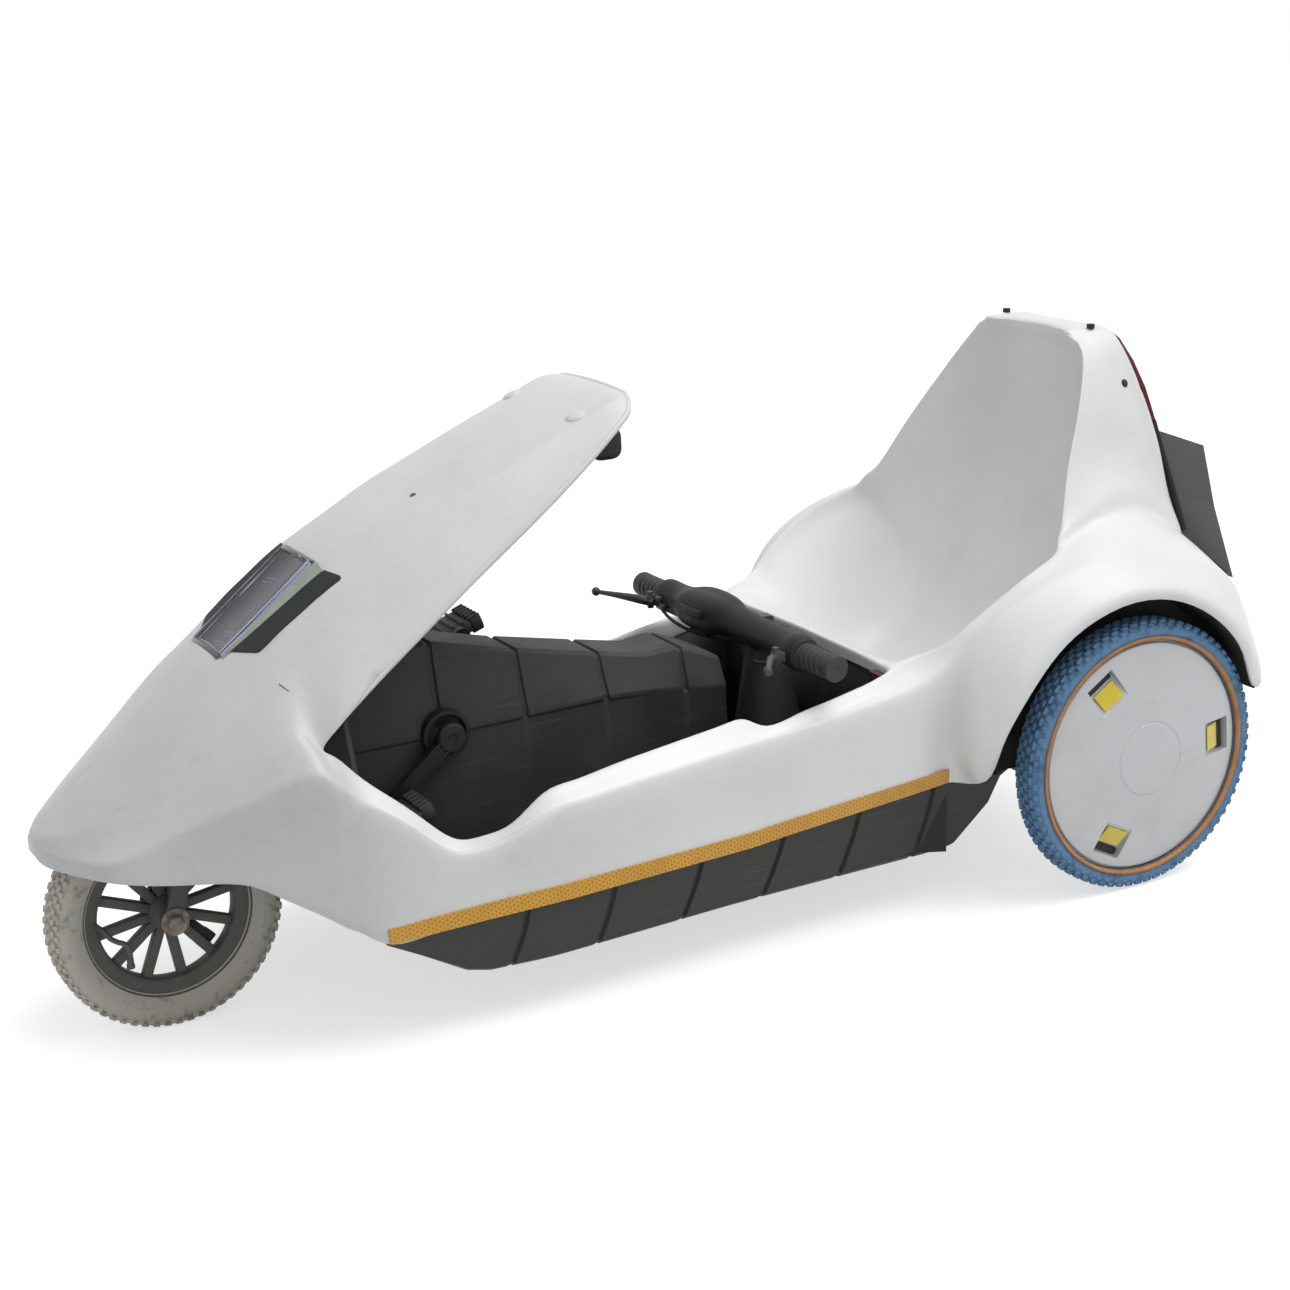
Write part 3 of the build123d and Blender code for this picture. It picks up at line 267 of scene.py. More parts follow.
bm = bmesh.new()
cowl, side = [], []
for x, crest, crease_y, crease_z, chine_y, chine_z, edge_y, edge_z in NOSE:
    x += FRONT_X
    top, crease, chine, edge = (x, 0, crest), (x, crease_y, crease_z), (x, chine_y, chine_z), (x, edge_y, edge_z)
    shelf = stepped(chine, crease, 58, 0.5)
    cowl.append(over_hood(x, top, crease, shelf))
    side.append(fold_row(x, shelf, chine, edge, SHARP))
OPENING_CORNER = (FRONT_X + 163, 217, 415)
cowl[-1][5] = side[-1][0] = OPENING_CORNER
side[-1][1] = stepped(OPENING_CORNER, side[-1][2], 12)
tip = FRONT_X - 164.5
for rows in (cowl, side):
    rows.insert(0, [(tip, y * 0.6, TIP_Z + (z - TIP_Z) * 0.55) for _, y, z in rows[0]])
    rows.insert(0, [(tip - 0.5, y * 0.6, TIP_LOW + (z - TIP_LOW) * 0.6) for _, y, z in rows[0]])
    rows.insert(0, [(tip - 0.5, 0, TIP_LOW)] * len(rows[0]))
for x, crest, crease_y, crease_z, edge_y, edge_z in HOOD:
    x += FRONT_X
    top, crease, edge = (x, 0, crest), (x, crease_y, crease_z), (x, edge_y, edge_z)
    cowl.append(over_hood(x, top, crease, edge))
cowl[-1] = [(x - max(0, y - 80) ** 2 * REAR_ROUNDING, y, z) for x, y, z in cowl[-1]]
lay_grid(bm, cowl)
hood_rows = cowl[-len(HOOD):]

flange = [[(x, y, z), (x + 1, y - 4, z - 3), (x + 2, y - 10, z - 8)] for x, y, z in
          (hood_rows[1][5], hood_rows[0][5], OPENING_CORNER)]
for x, rim_y, rim_z, fold_y, fold_z, edge_y, edge_z in filled(SIDE, 60):
    rim, fold = (x, rim_y, rim_z), (x, fold_y, fold_z)
    ledge = stepped(rim, fold, 8) if x < REAR_X - 368 else rim
    side.append(fold_row(x, ledge, fold, (x, edge_y, edge_z)))
    if x < REAR_X - 366:
        flange.append([ledge, (x, rim_y, rim_z - 9), (x, rim_y, rim_z - 38)])
tower = [[(REAR_X + x, y, z) for x, y, z in row] for row in TOWER]
rim = [(REAR_X + x, y, z) for x, y, z, *_ in SEAT]
tops = rim[3:8] + tower[0][1:]
for top, (x, y, z, angle, lip_y) in zip(tops, ARCH):
    shoulder = (REAR_X + x, y, z)
    row = fold_row(x, top, shoulder, lip_point(angle, lip_y - 3, LIP_DEPTH), lead=12 if x > 185 else 45)
    side.append(row[:4] + [lip_point(angle, lip_y - 3, LIP_DEPTH), lip_point(angle, lip_y)])
lay_grid(bm, side)
lay_grid(bm, flange)

seat = []
for row in SEAT[:8] + [mixed(SEAT[7], SEAT[8], TOWER_FOOT[0])] + SEAT[8:]:
    rim_at, wall, foot = ((REAR_X + row[i], row[i + 1], row[i + 2]) for i in (0, 3, 6))
    middle = (REAR_X + row[9], 0, row[10])
    seat.append([rim_at, mixed(rim_at, wall, 0.45), wall, mixed(wall, foot, 0.45), mixed(wall, foot, 0.85),
                 mixed(foot, middle, 0.12), mixed(foot, middle, 0.4), mixed(foot, middle, 0.7), middle])
lay_grid(bm, seat)
lay_grid(bm, [seat[0], [(x - 3, y, z - 6) for x, y, z in seat[0]], [(x - 3, y, z - 15) for x, y, z in seat[0]]])
tower.insert(1, [mixed(a, b, share) for a, b, share in zip(tower[0], tower[1], TOWER_FOOT)])
lay_grid(bm, tower)
rear = [[row[-1], (row[-1][0], edge, row[-1][2]), (row[-1][0], edge / 2, row[-1][2]), (row[-1][0], 0, row[-1][2])]
        for row, edge in zip(tower, BOOT_EDGE)]
lay_grid(bm, [row[:2] for row in rear[:4]])
lay_grid(bm, rear[3:])
outer = tower[-1] + rear[-1][1:]
lay_grid(bm, [outer, [(x, y, 789) for x, y, _ in (mixed(a, b, 0.5) for a, b in zip(outer, seat[-1]))], seat[-1]])

bmesh.ops.remove_doubles(bm, verts=bm.verts, dist=0.0004)
mirrored(bm, 0.0004)
on_crest = Vector((FRONT_X + 435, 20, 700)) * MM
if min(bm.faces, key=lambda face: (face.calc_center_median() - on_crest).length).normal.z < 0:
    bmesh.ops.reverse_faces(bm, faces=bm.faces)


def piece_of(bm, name, body, smooth=True, sharp=None):
    """The finished mesh as a named piece on a body, with edges sharp above an angle in degrees."""
    mesh = bpy.data.meshes.new(name)
    bm.to_mesh(mesh)
    bm.free()
    if smooth:
        mesh.shade_smooth()
    if sharp:
        mesh.set_sharp_from_angle(angle=radians(sharp))
    piece = bpy.data.objects.new(name, mesh)
    scene.collection.objects.link(piece)
    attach(piece, body)
    return piece


body_shell = piece_of(bm, "body_shell", "chassis")
smoothing = body_shell.modifiers.new("smooth", "SUBSURF")
smoothing.levels = smoothing.render_levels = 2
# the cage is let out until the smoothed shell passes through the points it was laid by
laid = [corner.co.copy() for corner in body_shell.data.vertices]
for _ in range(4):
    smooth = body_shell.evaluated_get(bpy.context.evaluated_depsgraph_get()).data
    cage = bmesh.new()
    cage.from_mesh(body_shell.data)
    cage.normal_update()
    for corner, point in zip(cage.verts, laid):
        short = point - smooth.vertices[corner.index].co
        along = [edge.other_vert(corner).co for edge in corner.link_edges if edge.is_boundary]
        if len(along) == 2:
            run = (along[0] - along[1]).normalized()
            corner.co += short - run * short.dot(run)
        else:
            corner.co += corner.normal * short.dot(corner.normal)
    cage.to_mesh(body_shell.data)
    cage.free()
    body_shell.data.update()
    bpy.context.view_layer.update()
walled(body_shell, WALL)
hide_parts("front_cowl", "left_side_panel", "right_side_panel", "seat_shell", "tail_shell",
            "left_rear_arch", "right_rear_arch")


def shader_group(name, inputs, outputs):
    """An empty node group for an effect that several finishes share, with its input and output nodes."""
    group = bpy.data.node_groups.new(name, "ShaderNodeTree")
    for label, value in inputs.items():
        group.interface.new_socket(label, in_out="INPUT", socket_type="NodeSocketFloat").default_value = value
    for label in outputs:
        group.interface.new_socket(label, in_out="OUTPUT", socket_type="NodeSocketFloat")
    return group, group.nodes.new("NodeGroupInput"), group.nodes.new("NodeGroupOutput")


def noise(nodes, links, scale, detail=4.0, stretch=None):
    """Noise laid on the piece's own coordinates, drawn out along an axis if it is a streak."""
    place = nodes.new("ShaderNodeTexCoord").outputs["Object"]
    if stretch:
        drawn = nodes.new("ShaderNodeMapping")
        drawn.inputs["Scale"].default_value = stretch
        links.new(place, drawn.inputs["Vector"])
        place = drawn.outputs["Vector"]
    texture = nodes.new("ShaderNodeTexNoise")
    texture.inputs["Detail"].default_value = detail
    texture.inputs["Roughness"].default_value = 0.62
    links.new(place, texture.inputs["Vector"])
    if isinstance(scale, (int, float)):
        texture.inputs["Scale"].default_value = scale
    else:
        links.new(scale, texture.inputs["Scale"])
    return texture.outputs["Fac"]


def ranged(nodes, links, value, low, high, start=0.0, end=1.0):
    """The value turned from low..high into start..end, and held there."""
    turn = nodes.new("ShaderNodeMapRange")
    links.new(value, turn.inputs["Value"])
    for label, limit in (("From Min", low), ("From Max", high), ("To Min", start), ("To Max", end)):
        if isinstance(limit, (int, float)):
            turn.inputs[label].default_value = limit
        else:
            links.new(limit, turn.inputs[label])
    return turn.outputs["Result"]


def times(nodes, links, a, b, operation="MULTIPLY"):
    """Two values joined by one sum."""
    sum_node = nodes.new("ShaderNodeMath")
    sum_node.operation = operation
    for socket, value in zip(sum_node.inputs, (a, b)):
        if isinstance(value, (int, float)):
            socket.default_value = value
        else:
            links.new(value, socket)
    return sum_node.outputs["Value"]


# cloudy patches: soiling on most finishes, and the shape of the painted glints on the lamp's reflectors
soiling_and_glints, given, made = shader_group("soiling_and_glints", {"Scale": 8.0, "Least": 0.45, "Most": 0.7}, ["Mask"])
cloud = noise(soiling_and_glints.nodes, soiling_and_glints.links, given.outputs["Scale"], 7.0)
soiling_and_glints.links.new(ranged(soiling_and_glints.nodes, soiling_and_glints.links, cloud, given.outputs["Least"], given.outputs["Most"]),
                  made.inputs["Mask"])
graining, given, made = shader_group("graining", {"Scale": 300.0}, ["Height"])
graining.links.new(noise(graining.nodes, graining.links, given.outputs["Scale"], 3.0), made.inputs["Height"])
scuffing, given, made = shader_group("scuffing", {"Scale": 30.0, "Least": 0.62, "Most": 0.72}, ["Mask"])
stroke = noise(scuffing.nodes, scuffing.links, given.outputs["Scale"], 2.0, (0.25, 1.0, 3.0))
scuffing.links.new(ranged(scuffing.nodes, scuffing.links, stroke, given.outputs["Least"], given.outputs["Most"]),
                   made.inputs["Mask"])


def effect(material, group, output, **values):
    """A shared effect placed in a material with its own values."""
    node = material.node_tree.nodes.new("ShaderNodeGroup")
    node.node_tree = group
    for label, value in values.items():
        node.inputs[label].default_value = value
    return node.outputs[output]


def overlay(material, mask, colour, strength=1.0):
    """Another colour laid over a material where the mask is bright."""
    nodes, links = material.node_tree.nodes, material.node_tree.links
    base = nodes["Principled BSDF"].inputs["Base Color"]
    mix = nodes.new("ShaderNodeMix")
    mix.data_type = "RGBA"
    links.new(times(nodes, links, mask, strength), mix.inputs[0])
    if base.links:
        links.new(base.links[0].from_socket, mix.inputs[6])
    else:
        mix.inputs[6].default_value = base.default_value
    mix.inputs[7].default_value = (*colour, 1)
    links.new(mix.outputs[2], base)


def finish(name, colour, roughness, patch_colour, patch_strength=0.5, patch_scale=8.0, least=0.45, most=0.72, grain=320.0,
           depth=0.12, metallic=0.0, coat=0.0, specular=0.5):
    """A finish of one colour with patches of a second, rougher in the patches, with a fine grain. The patches are
    soiling on most finishes and the dark round painted glints on the lamp's reflectors.
    """
    material = bpy.data.materials.new(name)
    material.use_nodes = True
    nodes, links = material.node_tree.nodes, material.node_tree.links
    shader = nodes["Principled BSDF"]
    shader.inputs["Base Color"].default_value = (*colour, 1)
    shader.inputs["Metallic"].default_value = metallic
    shader.inputs["Coat Weight"].default_value = coat
    shader.inputs["Specular IOR Level"].default_value = specular
    mask = effect(material, soiling_and_glints, "Mask", Scale=patch_scale, Least=least, Most=most)
    overlay(material, mask, patch_colour, patch_strength)
    links.new(ranged(nodes, links, mask, 0.0, 1.0, roughness, min(roughness + 0.22, 0.95)), shader.inputs["Roughness"])
    bump = nodes.new("ShaderNodeBump")
    bump.inputs["Strength"].default_value = depth
    bump.inputs["Distance"].default_value = 0.0006
    links.new(effect(material, graining, "Height", Scale=grain), bump.inputs["Height"])
    links.new(bump.outputs["Normal"], shader.inputs["Normal"])
    return material


def wear(piece, material):
    """Gives a piece or a CAD node its finish."""
    piece.data.materials.clear()
    piece.data.materials.append(material)


def axis_value(nodes, links, axis):
    """Where a point is along X, Y or Z on the piece."""
    split = nodes.new("ShaderNodeSeparateXYZ")
    links.new(nodes.new("ShaderNodeTexCoord").outputs["Object"], split.inputs["Vector"])
    return split.outputs[axis]


white_shell = finish("white_shell", (0.79, 0.795, 0.79), 0.38, (0.62, 0.62, 0.59), 0.35, 5.0, 0.5, 0.75, 160.0, 0.18)
nodes, links = white_shell.node_tree.nodes, white_shell.node_tree.links
forward = ranged(nodes, links, axis_value(nodes, links, "X"), 0.3, -0.7)
dust = effect(white_shell, soiling_and_glints, "Mask", Scale=3.2, Least=0.3, Most=0.75)
overlay(white_shell, forward, (0.46, 0.47, 0.465), 0.62)
overlay(white_shell, times(nodes, links, forward, dust), (0.40, 0.40, 0.385), 0.5)
flecks = effect(white_shell, soiling_and_glints, "Mask", Scale=46.0, Least=0.55, Most=0.75)
overlay(white_shell, times(nodes, links, times(nodes, links, forward, flecks), dust), (0.36, 0.345, 0.31), 0.5)
overlay(white_shell, effect(white_shell, scuffing, "Mask", Scale=26.0, Least=0.62, Most=0.78), (0.56, 0.56, 0.53), 0.12)
# the rim band of the footwell is kept clean by the driver's sleeves, and painted brighter than the clean shell as a
# painted highlight where it faces the light
clean_lit_rim = times(nodes, links, ranged(nodes, links, axis_value(nodes, links, "X"), -0.545, -0.51),
               ranged(nodes, links, axis_value(nodes, links, "Z"), 0.44, 0.41))
clean_lit_rim = times(nodes, links, clean_lit_rim, ranged(nodes, links, axis_value(nodes, links, "X"), 0.27, 0.22))
across = nodes.new("ShaderNodeMath")
across.operation = "ABSOLUTE"
links.new(axis_value(nodes, links, "Y"), across.inputs[0])
clean_lit_rim = times(nodes, links, clean_lit_rim, ranged(nodes, links, across.outputs["Value"], 0.266, 0.262))
overlay(white_shell, clean_lit_rim, (0.86, 0.865, 0.87), 0.9)
wear(body_shell, white_shell)

# ---------------------------------------------------------------- rolled edge and marks of the hood
# The hood's edge is rolled into a bead that stiffens it, from the footwell's corner round the back to the
# other side. Two plugs close the moulding's holes, and a small screw hole is left in the top.
hood_edge = [row[5] for row in hood_rows] + cowl[-1][4::-1]
hood_edge += [(x, -y, z) for x, y, z in hood_edge[-2::-1]]
BEAD_RADIUS = 4.4


def tube(name, body, points, radius, order=3, swell=None):
    """A round rod or wire along a smooth line through points in millimetres."""
    curve = bpy.data.curves.new(name, "CURVE")
    curve.dimensions, curve.bevel_depth, curve.bevel_resolution, curve.use_fill_caps = "3D", radius * MM, 4, True
    spline = curve.splines.new("NURBS")
    spline.points.add(len(points) - 1)
    for number, (knot, point) in enumerate(zip(spline.points, points)):
        knot.co = (*(Vector(point) * MM), 1)
        knot.radius = swell[number] if swell else 1.0
    spline.order_u, spline.use_endpoint_u, spline.resolution_u = order, True, 8
    shown = bpy.data.objects.new(name + "_line", curve)
    scene.collection.objects.link(shown)
    mesh = bpy.data.meshes.new_from_object(shown.evaluated_get(bpy.context.evaluated_depsgraph_get()))
    bpy.data.objects.remove(shown)
    mesh.name = name
    mesh.shade_smooth()
    piece = bpy.data.objects.new(name, mesh)
    scene.collection.objects.link(piece)
    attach(piece, body)
    return piece


bead_swell = [0.3, 0.8] + [1.0] * (len(hood_edge) - 4) + [0.8, 0.3]
hood_bead = tube("hood_bead", "chassis", [(x, y, z - 2) for x, y, z in hood_edge], BEAD_RADIUS, 4, bead_swell)
wear(hood_bead, white_shell)

shell_surface = BVHTree.FromObject(body_shell, bpy.context.evaluated_depsgraph_get())


def on_shell(x, y, lift=0.0):
    """The point of the shell's outer face above x, y in millimetres, lifted off it, and the face's normal."""
    place, normal, *_ = shell_surface.ray_cast(Vector((x, y, 2000)) * MM, Vector((0, 0, -1)))
    return place / MM + normal * lift, normal


def set_in(bm, place):
    """Moves a mesh made in millimetres about its own middle to its place in the frame, in metres."""
    bmesh.ops.transform(bm, matrix=Matrix.Scale(MM, 4) @ place, verts=bm.verts)


def turned(profile, steps=64, closed=False):
    """A mesh turned about Z: the profile's points are (radius, height)."""
    bm = bmesh.new()
    line = [bm.verts.new((radius, 0, height)) for radius, height in profile]
    ends = zip(line, line[1:] + line[:1]) if closed else zip(line, line[1:])
    edges = [bm.edges.new(pair) for pair in ends]
    bmesh.ops.spin(bm, geom=line + edges, cent=(0, 0, 0), axis=(0, 0, 1), angle=2 * pi, steps=steps, use_merge=True)
    bmesh.ops.remove_doubles(bm, verts=bm.verts, dist=0.001)
    bmesh.ops.recalc_face_normals(bm, faces=bm.faces)
    return bm


def joined(bm, other):
    """Adds one mesh to another and frees it."""
    spare = bpy.data.meshes.new("spare")
    other.to_mesh(spare)
    other.free()
    bm.from_mesh(spare)
    bpy.data.meshes.remove(spare)


def facing(place, normal):
    """A place in millimetres with its Z along a surface's normal."""
    return Matrix.Translation(place) @ normal.to_track_quat("Z", "Y").to_matrix().to_4x4()


CAP_X, CAP_Y = -125.0, 100.0
bm = bmesh.new()
for y in (-CAP_Y, CAP_Y):
    place, normal = on_shell(CAP_X, y)
    cap = turned([(0, 4.0), (7, 3.7), (11, 2.8), (13.4, 1.2), (14, -1.5), (0, -1.5)], 32)
    set_in(cap, facing(place, normal))
    joined(bm, cap)
hood_caps = piece_of(bm, "hood_caps", "chassis", sharp=50)
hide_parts("cowl_caps")
wear(hood_caps, white_shell)

rusty_ring = finish("rusty_ring", (0.16, 0.09, 0.05), 0.7, (0.02, 0.02, 0.02), 0.7, 200.0)
place, normal = on_shell(-344, -47)
bm = turned([(0, 0.3), (2.2, 0.3), (2.6, 0.9), (4.0, 0.7), (5.0, -0.6), (0, -0.6)], 20)
set_in(bm, facing(place, normal))
hood_screw = piece_of(bm, "hood_screw", "chassis")
wear(hood_screw, rusty_ring)
SCRATCH = ((-585, -150), (-581, -156), (-577, -162))
scratch = tube("hood_scratch", "chassis", [tuple(on_shell(x, y, 0.1)[0]) for x, y in SCRATCH], 0.7)
wear(scratch, rusty_ring)

# ---------------------------------------------------------------- headlamp
# A sealed lamp set into the nose: a clear lens tinted violet with a thick bevelled border, over a dark bowl
# with ribbed reflectors, in a grey-green surround that widens towards the top, between two bare dark panels.
LENS_LOW, LENS_HIGH, LENS_HALF = Vector((-633, 0, 503)), Vector((-492, 0, 614)), 54.0
lens_long = (LENS_HIGH - LENS_LOW).length
uphill = (LENS_HIGH - LENS_LOW).normalized()
lamp_place = Matrix((uphill, Vector((0, 1, 0)), Vector((-uphill.z, 0, uphill.x)))).transposed().to_4x4()
lamp_place.translation = (LENS_LOW + LENS_HIGH) / 2


def block(size, middle=(0, 0, 0), rounded=0.0, segments=2, turn=None):
    """A box with its edges softened, in millimetres."""
    bm = bmesh.new()
    bmesh.ops.create_cube(bm, size=1)
    bmesh.ops.scale(bm, vec=size, verts=bm.verts)
    if rounded:
        bmesh.ops.bevel(bm, geom=bm.edges[:], offset=rounded, segments=segments, profile=0.5, affect="EDGES",
                        material=-1)
    place = Matrix.Translation(middle)
    bmesh.ops.transform(bm, matrix=place @ turn.to_4x4() if turn else place, verts=bm.verts)
    return bm


def cut_out(piece, tool_bm):
    """Cuts a closed mesh out of a piece, after the piece's own modifiers so far."""
    tool_mesh = bpy.data.meshes.new("cutter")
    tool_bm.to_mesh(tool_mesh)
    tool_bm.free()
    cutter = bpy.data.objects.new("cutter", tool_mesh)
    scene.collection.objects.link(cutter)
    cutting = piece.modifiers.new("cut", "BOOLEAN")
    cutting.operation, cutting.solver, cutting.object = "DIFFERENCE", "EXACT", cutter
    bpy.context.view_layer.update()
    cut = bpy.data.meshes.new_from_object(piece.evaluated_get(bpy.context.evaluated_depsgraph_get()))
    piece.modifiers.clear()
    piece.data = cut
    bpy.data.objects.remove(cutter)


bm = block((lens_long - 3, 2 * LENS_HALF - 3, 90))
set_in(bm, lamp_place)
cut_out(body_shell, bm)
soften(body_shell, 0.0018, 50)

bm = block((lens_long, 2 * LENS_HALF, 18), (0, 0, -4), 5.5, 2)
bmesh.ops.dissolve_limit(bm, angle_limit=radians(1), verts=bm.verts, edges=bm.edges)
top = max(bm.faces, key=lambda face: face.calc_center_median().z)
bmesh.ops.inset_region(bm, faces=[top], thickness=3.5, depth=0)
bmesh.ops.inset_region(bm, faces=[top], thickness=2.0, depth=-2.4)
bmesh.ops.bevel(bm, geom=top.edges[:], offset=0.6, segments=2, profile=0.5, affect="EDGES", material=-1)
set_in(bm, lamp_place)
lamp_lens = piece_of(bm, "lamp_lens", "chassis", sharp=35)
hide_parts("headlamp_lens")
violet_lens = finish("violet_lens", (0.36, 0.34, 0.47), 0.05, (0.28, 0.25, 0.38), 0.4, 30.0, grain=500.0, depth=0.0)
clear = violet_lens.node_tree.nodes["Principled BSDF"].inputs
clear["Transmission Weight"].default_value, clear["IOR"].default_value = 1.0, 1.4
violet_lens.node_tree.links.remove(clear["Roughness"].links[0])
clear["Roughness"].default_value = 0.02
wear(lamp_lens, violet_lens)

bm = block((lens_long - 8, 2 * LENS_HALF - 8, 32), (0, 0, -26.5))
bmesh.ops.delete(bm, geom=[max(bm.faces, key=lambda face: face.calc_center_median().z)], context="FACES")
set_in(bm, lamp_place)
lamp_bowl = piece_of(bm, "lamp_bowl", "chassis", smooth=False)
black_bowl = finish("black_bowl", (0.02, 0.02, 0.028), 0.3, (0.06, 0.06, 0.07), 0.4, 40.0)
wear(lamp_bowl, black_bowl)

bm = bmesh.new()
for along in (-40.0, 42.0):
    bowl = turned([(0, -19), (14, -17.6), (28, -12.8), (38, -4.5), (40, 0), (41.5, 0), (41.5, -4)], 48)
    bmesh.ops.translate(bowl, vec=(along, 0, -17), verts=bowl.verts)
    joined(bm, bowl)
set_in(bm, lamp_place)
lamp_reflectors = piece_of(bm, "lamp_reflectors", "chassis")
# The reflectors' colour paints their glints: a near-white base shows only in noise patches and between dark wave bands,
# a painted reflection of the light in the bowls.
painted_glint_ribs = finish("painted_glint_ribs", (0.86, 0.86, 0.88), 0.25, (0.012, 0.012, 0.02), 0.98, 34.0, 0.38, 0.47,
                     metallic=0.6)
nodes, links = painted_glint_ribs.node_tree.nodes, painted_glint_ribs.node_tree.links
ribs = nodes.new("ShaderNodeTexWave")
ribs.inputs["Scale"].default_value = 60.0
ribs.bands_direction = "DIAGONAL"
links.new(nodes.new("ShaderNodeTexCoord").outputs["Object"], ribs.inputs["Vector"])
overlay(painted_glint_ribs, ranged(nodes, links, ribs.outputs["Fac"], 0.55, 0.35), (0.03, 0.03, 0.045), 0.85)
wear(lamp_reflectors, painted_glint_ribs)

# the surround's foot on the shell: x and half width at the low and the high end
FOOT_LOW, FOOT_HIGH = (-627.0, 60.0), (-488.0, 75.0)
bm = bmesh.new()
foot_ends = [[on_shell(x, y * half, 0.8)[0] for y in (-1, -0.5, 0, 0.5, 1)] for x, half in (FOOT_LOW, FOOT_HIGH)]
lens_ends = [[lamp_place @ Vector((end * lens_long / 2, y * (LENS_HALF + 0.5), -2)) for y in (-1, -0.5, 0, 0.5, 1)]
             for end in (-1, 1)]
round_lens, round_foot = [], []
for side in (-1, 1):
    for step in range(12):
        share = step / 12 if side < 0 else 1 - step / 12
        x, half = mixed(FOOT_LOW, FOOT_HIGH, share)
        round_lens.append(lamp_place @ Vector(((share - 0.5) * lens_long, side * (LENS_HALF + 0.5), -2)))
        round_foot.append(on_shell(x, side * half, 0.8)[0])
    round_lens += lens_ends[side < 0][:4] if side < 0 else lens_ends[0][:0:-1]
    round_foot += foot_ends[side < 0][:4] if side < 0 else foot_ends[0][:0:-1]
round_lens, round_foot = round_lens + round_lens[:1], round_foot + round_foot[:1]
lay_grid(bm, [round_lens, [mixed(a, b, 0.97) for a, b in zip(round_lens, round_foot)], round_foot])
bmesh.ops.remove_doubles(bm, verts=bm.verts, dist=0.0002)
bmesh.ops.recalc_face_normals(bm, faces=bm.faces)
lamp_surround = piece_of(bm, "lamp_surround", "chassis", smooth=False)
walled(lamp_surround, 0.002)
soften(lamp_surround, 0.0012)
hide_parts("headlamp_housing")
grey_green = finish("grey_green_surround", (0.27, 0.31, 0.26), 0.5, (0.42, 0.44, 0.38), 0.5, 60.0)
wear(lamp_surround, grey_green)

# the panel's corners on the shell: x and y of its inner and outer edge at the low and the high end
PANEL_LOW, PANEL_HIGH = ((-616, 61), (-593, 106)), ((-485, 75), (-476, 114))
bm = bmesh.new()
for side in (-1, 1):
    rows = []
    for step in range(17):
        ends = [mixed(low, high, step / 16) for low, high in zip(PANEL_LOW, PANEL_HIGH)]
        rows.append([tuple(on_shell(x, side * y, 1.6)[0]) for x, y in (mixed(*ends, share / 7) for share in range(8))])
    panel = lay_grid(bm, rows)
    outer_corners = [panel[7], panel[-1]]
    bmesh.ops.bevel(bm, geom=outer_corners, offset=0.005, segments=3, profile=0.5, affect="VERTICES", material=-1)
bmesh.ops.recalc_face_normals(bm, faces=bm.faces)
for face in bm.faces:
    if face.normal.z < 0:
        face.normal_flip()
lamp_panels = piece_of(bm, "lamp_panels", "chassis")
walled(lamp_panels, 0.002)
soften(lamp_panels, 0.0005)
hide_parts("headlamp_side_panels")
dark_panel = finish("dark_panel", (0.026, 0.027, 0.027), 0.7, (0.06, 0.057, 0.052), 0.4, 60.0, specular=0.2)
wear(lamp_panels, dark_panel)

# ---------------------------------------------------------------- amber strips
# A reflective tape with a honeycomb of small cells under its face, stuck along the lower edge of each side
# in one length. Its own edge shows as a thin pale line, and it is chipped in a few places.
amber_tape = finish("amber_tape", (0.60, 0.30, 0.015), 0.3, (0.40, 0.20, 0.02), 0.5, 30.0, grain=700.0, coat=0.3)
nodes, links = amber_tape.node_tree.nodes, amber_tape.node_tree.links
CELL = 2 * pi / 0.0052                     # waves across the strip for cells 5.2 mm apart
along, up = axis_value(nodes, links, "X"), axis_value(nodes, links, "Z")
cells = None
for turn in (0, 60, 120):
    wave = times(nodes, links, times(nodes, links, along, CELL * cos(radians(turn))),
                 times(nodes, links, up, CELL * sin(radians(turn))), "ADD")
    crest = nodes.new("ShaderNodeMath")
    crest.operation = "COSINE"
    links.new(wave, crest.inputs[0])
    cells = times(nodes, links, cells, crest.outputs["Value"], "ADD") if cells else crest.outputs["Value"]
overlay(amber_tape, ranged(nodes, links, cells, 0.3, 1.3), (0.20, 0.085, 0.01), 0.6)
overlay(amber_tape, effect(amber_tape, soiling_and_glints, "Mask", Scale=34.0, Least=0.74, Most=0.77), (0.55, 0.55, 0.5), 0.9)
for side in ("left", "right"):
    wear(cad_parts[side + "_trim_strip"], amber_tape)

# ---------------------------------------------------------------- tray under the body
# The lower half of the body, moulded in dark grey plastic: six grooves stiffen each side, and its edge is
# caught under the white panels all round.
TRAY_BOTTOM = 80.0
tray_top = [(x, edge_y - 3, edge_z - 0.5) for x, *_, edge_y, edge_z in SIDE[1:]] + [(REAR_X - 220, 303.0, 205.5)]
tray_foot = [(FRONT_X + 205, 281, 160), (FRONT_X + 335, 263, TRAY_BOTTOM), (FRONT_X + 440, 272, TRAY_BOTTOM),
             (REAR_X - 618, 250, TRAY_BOTTOM), (REAR_X - 285, 242, TRAY_BOTTOM), (REAR_X - 250, 248, 88),
             (REAR_X - 232, 256, 108), (REAR_X - 220, 270, 150)]
TRAY_GROOVES = (-322, -194, -60, 72, 200, 330)
GROOVE_HALF, GROOVE_DEEP, GROOVE_LEAN = 5.0, 4.5, 20.0


def between(table, x):
    """The row at x, on the straight line between the rows of a table."""
    x = min(max(x, table[0][0]), table[-1][0])
    for low, high in zip(table, table[1:]):
        if low[0] <= x <= high[0]:
            return mixed(low, high, (x - low[0]) / (high[0] - low[0]))


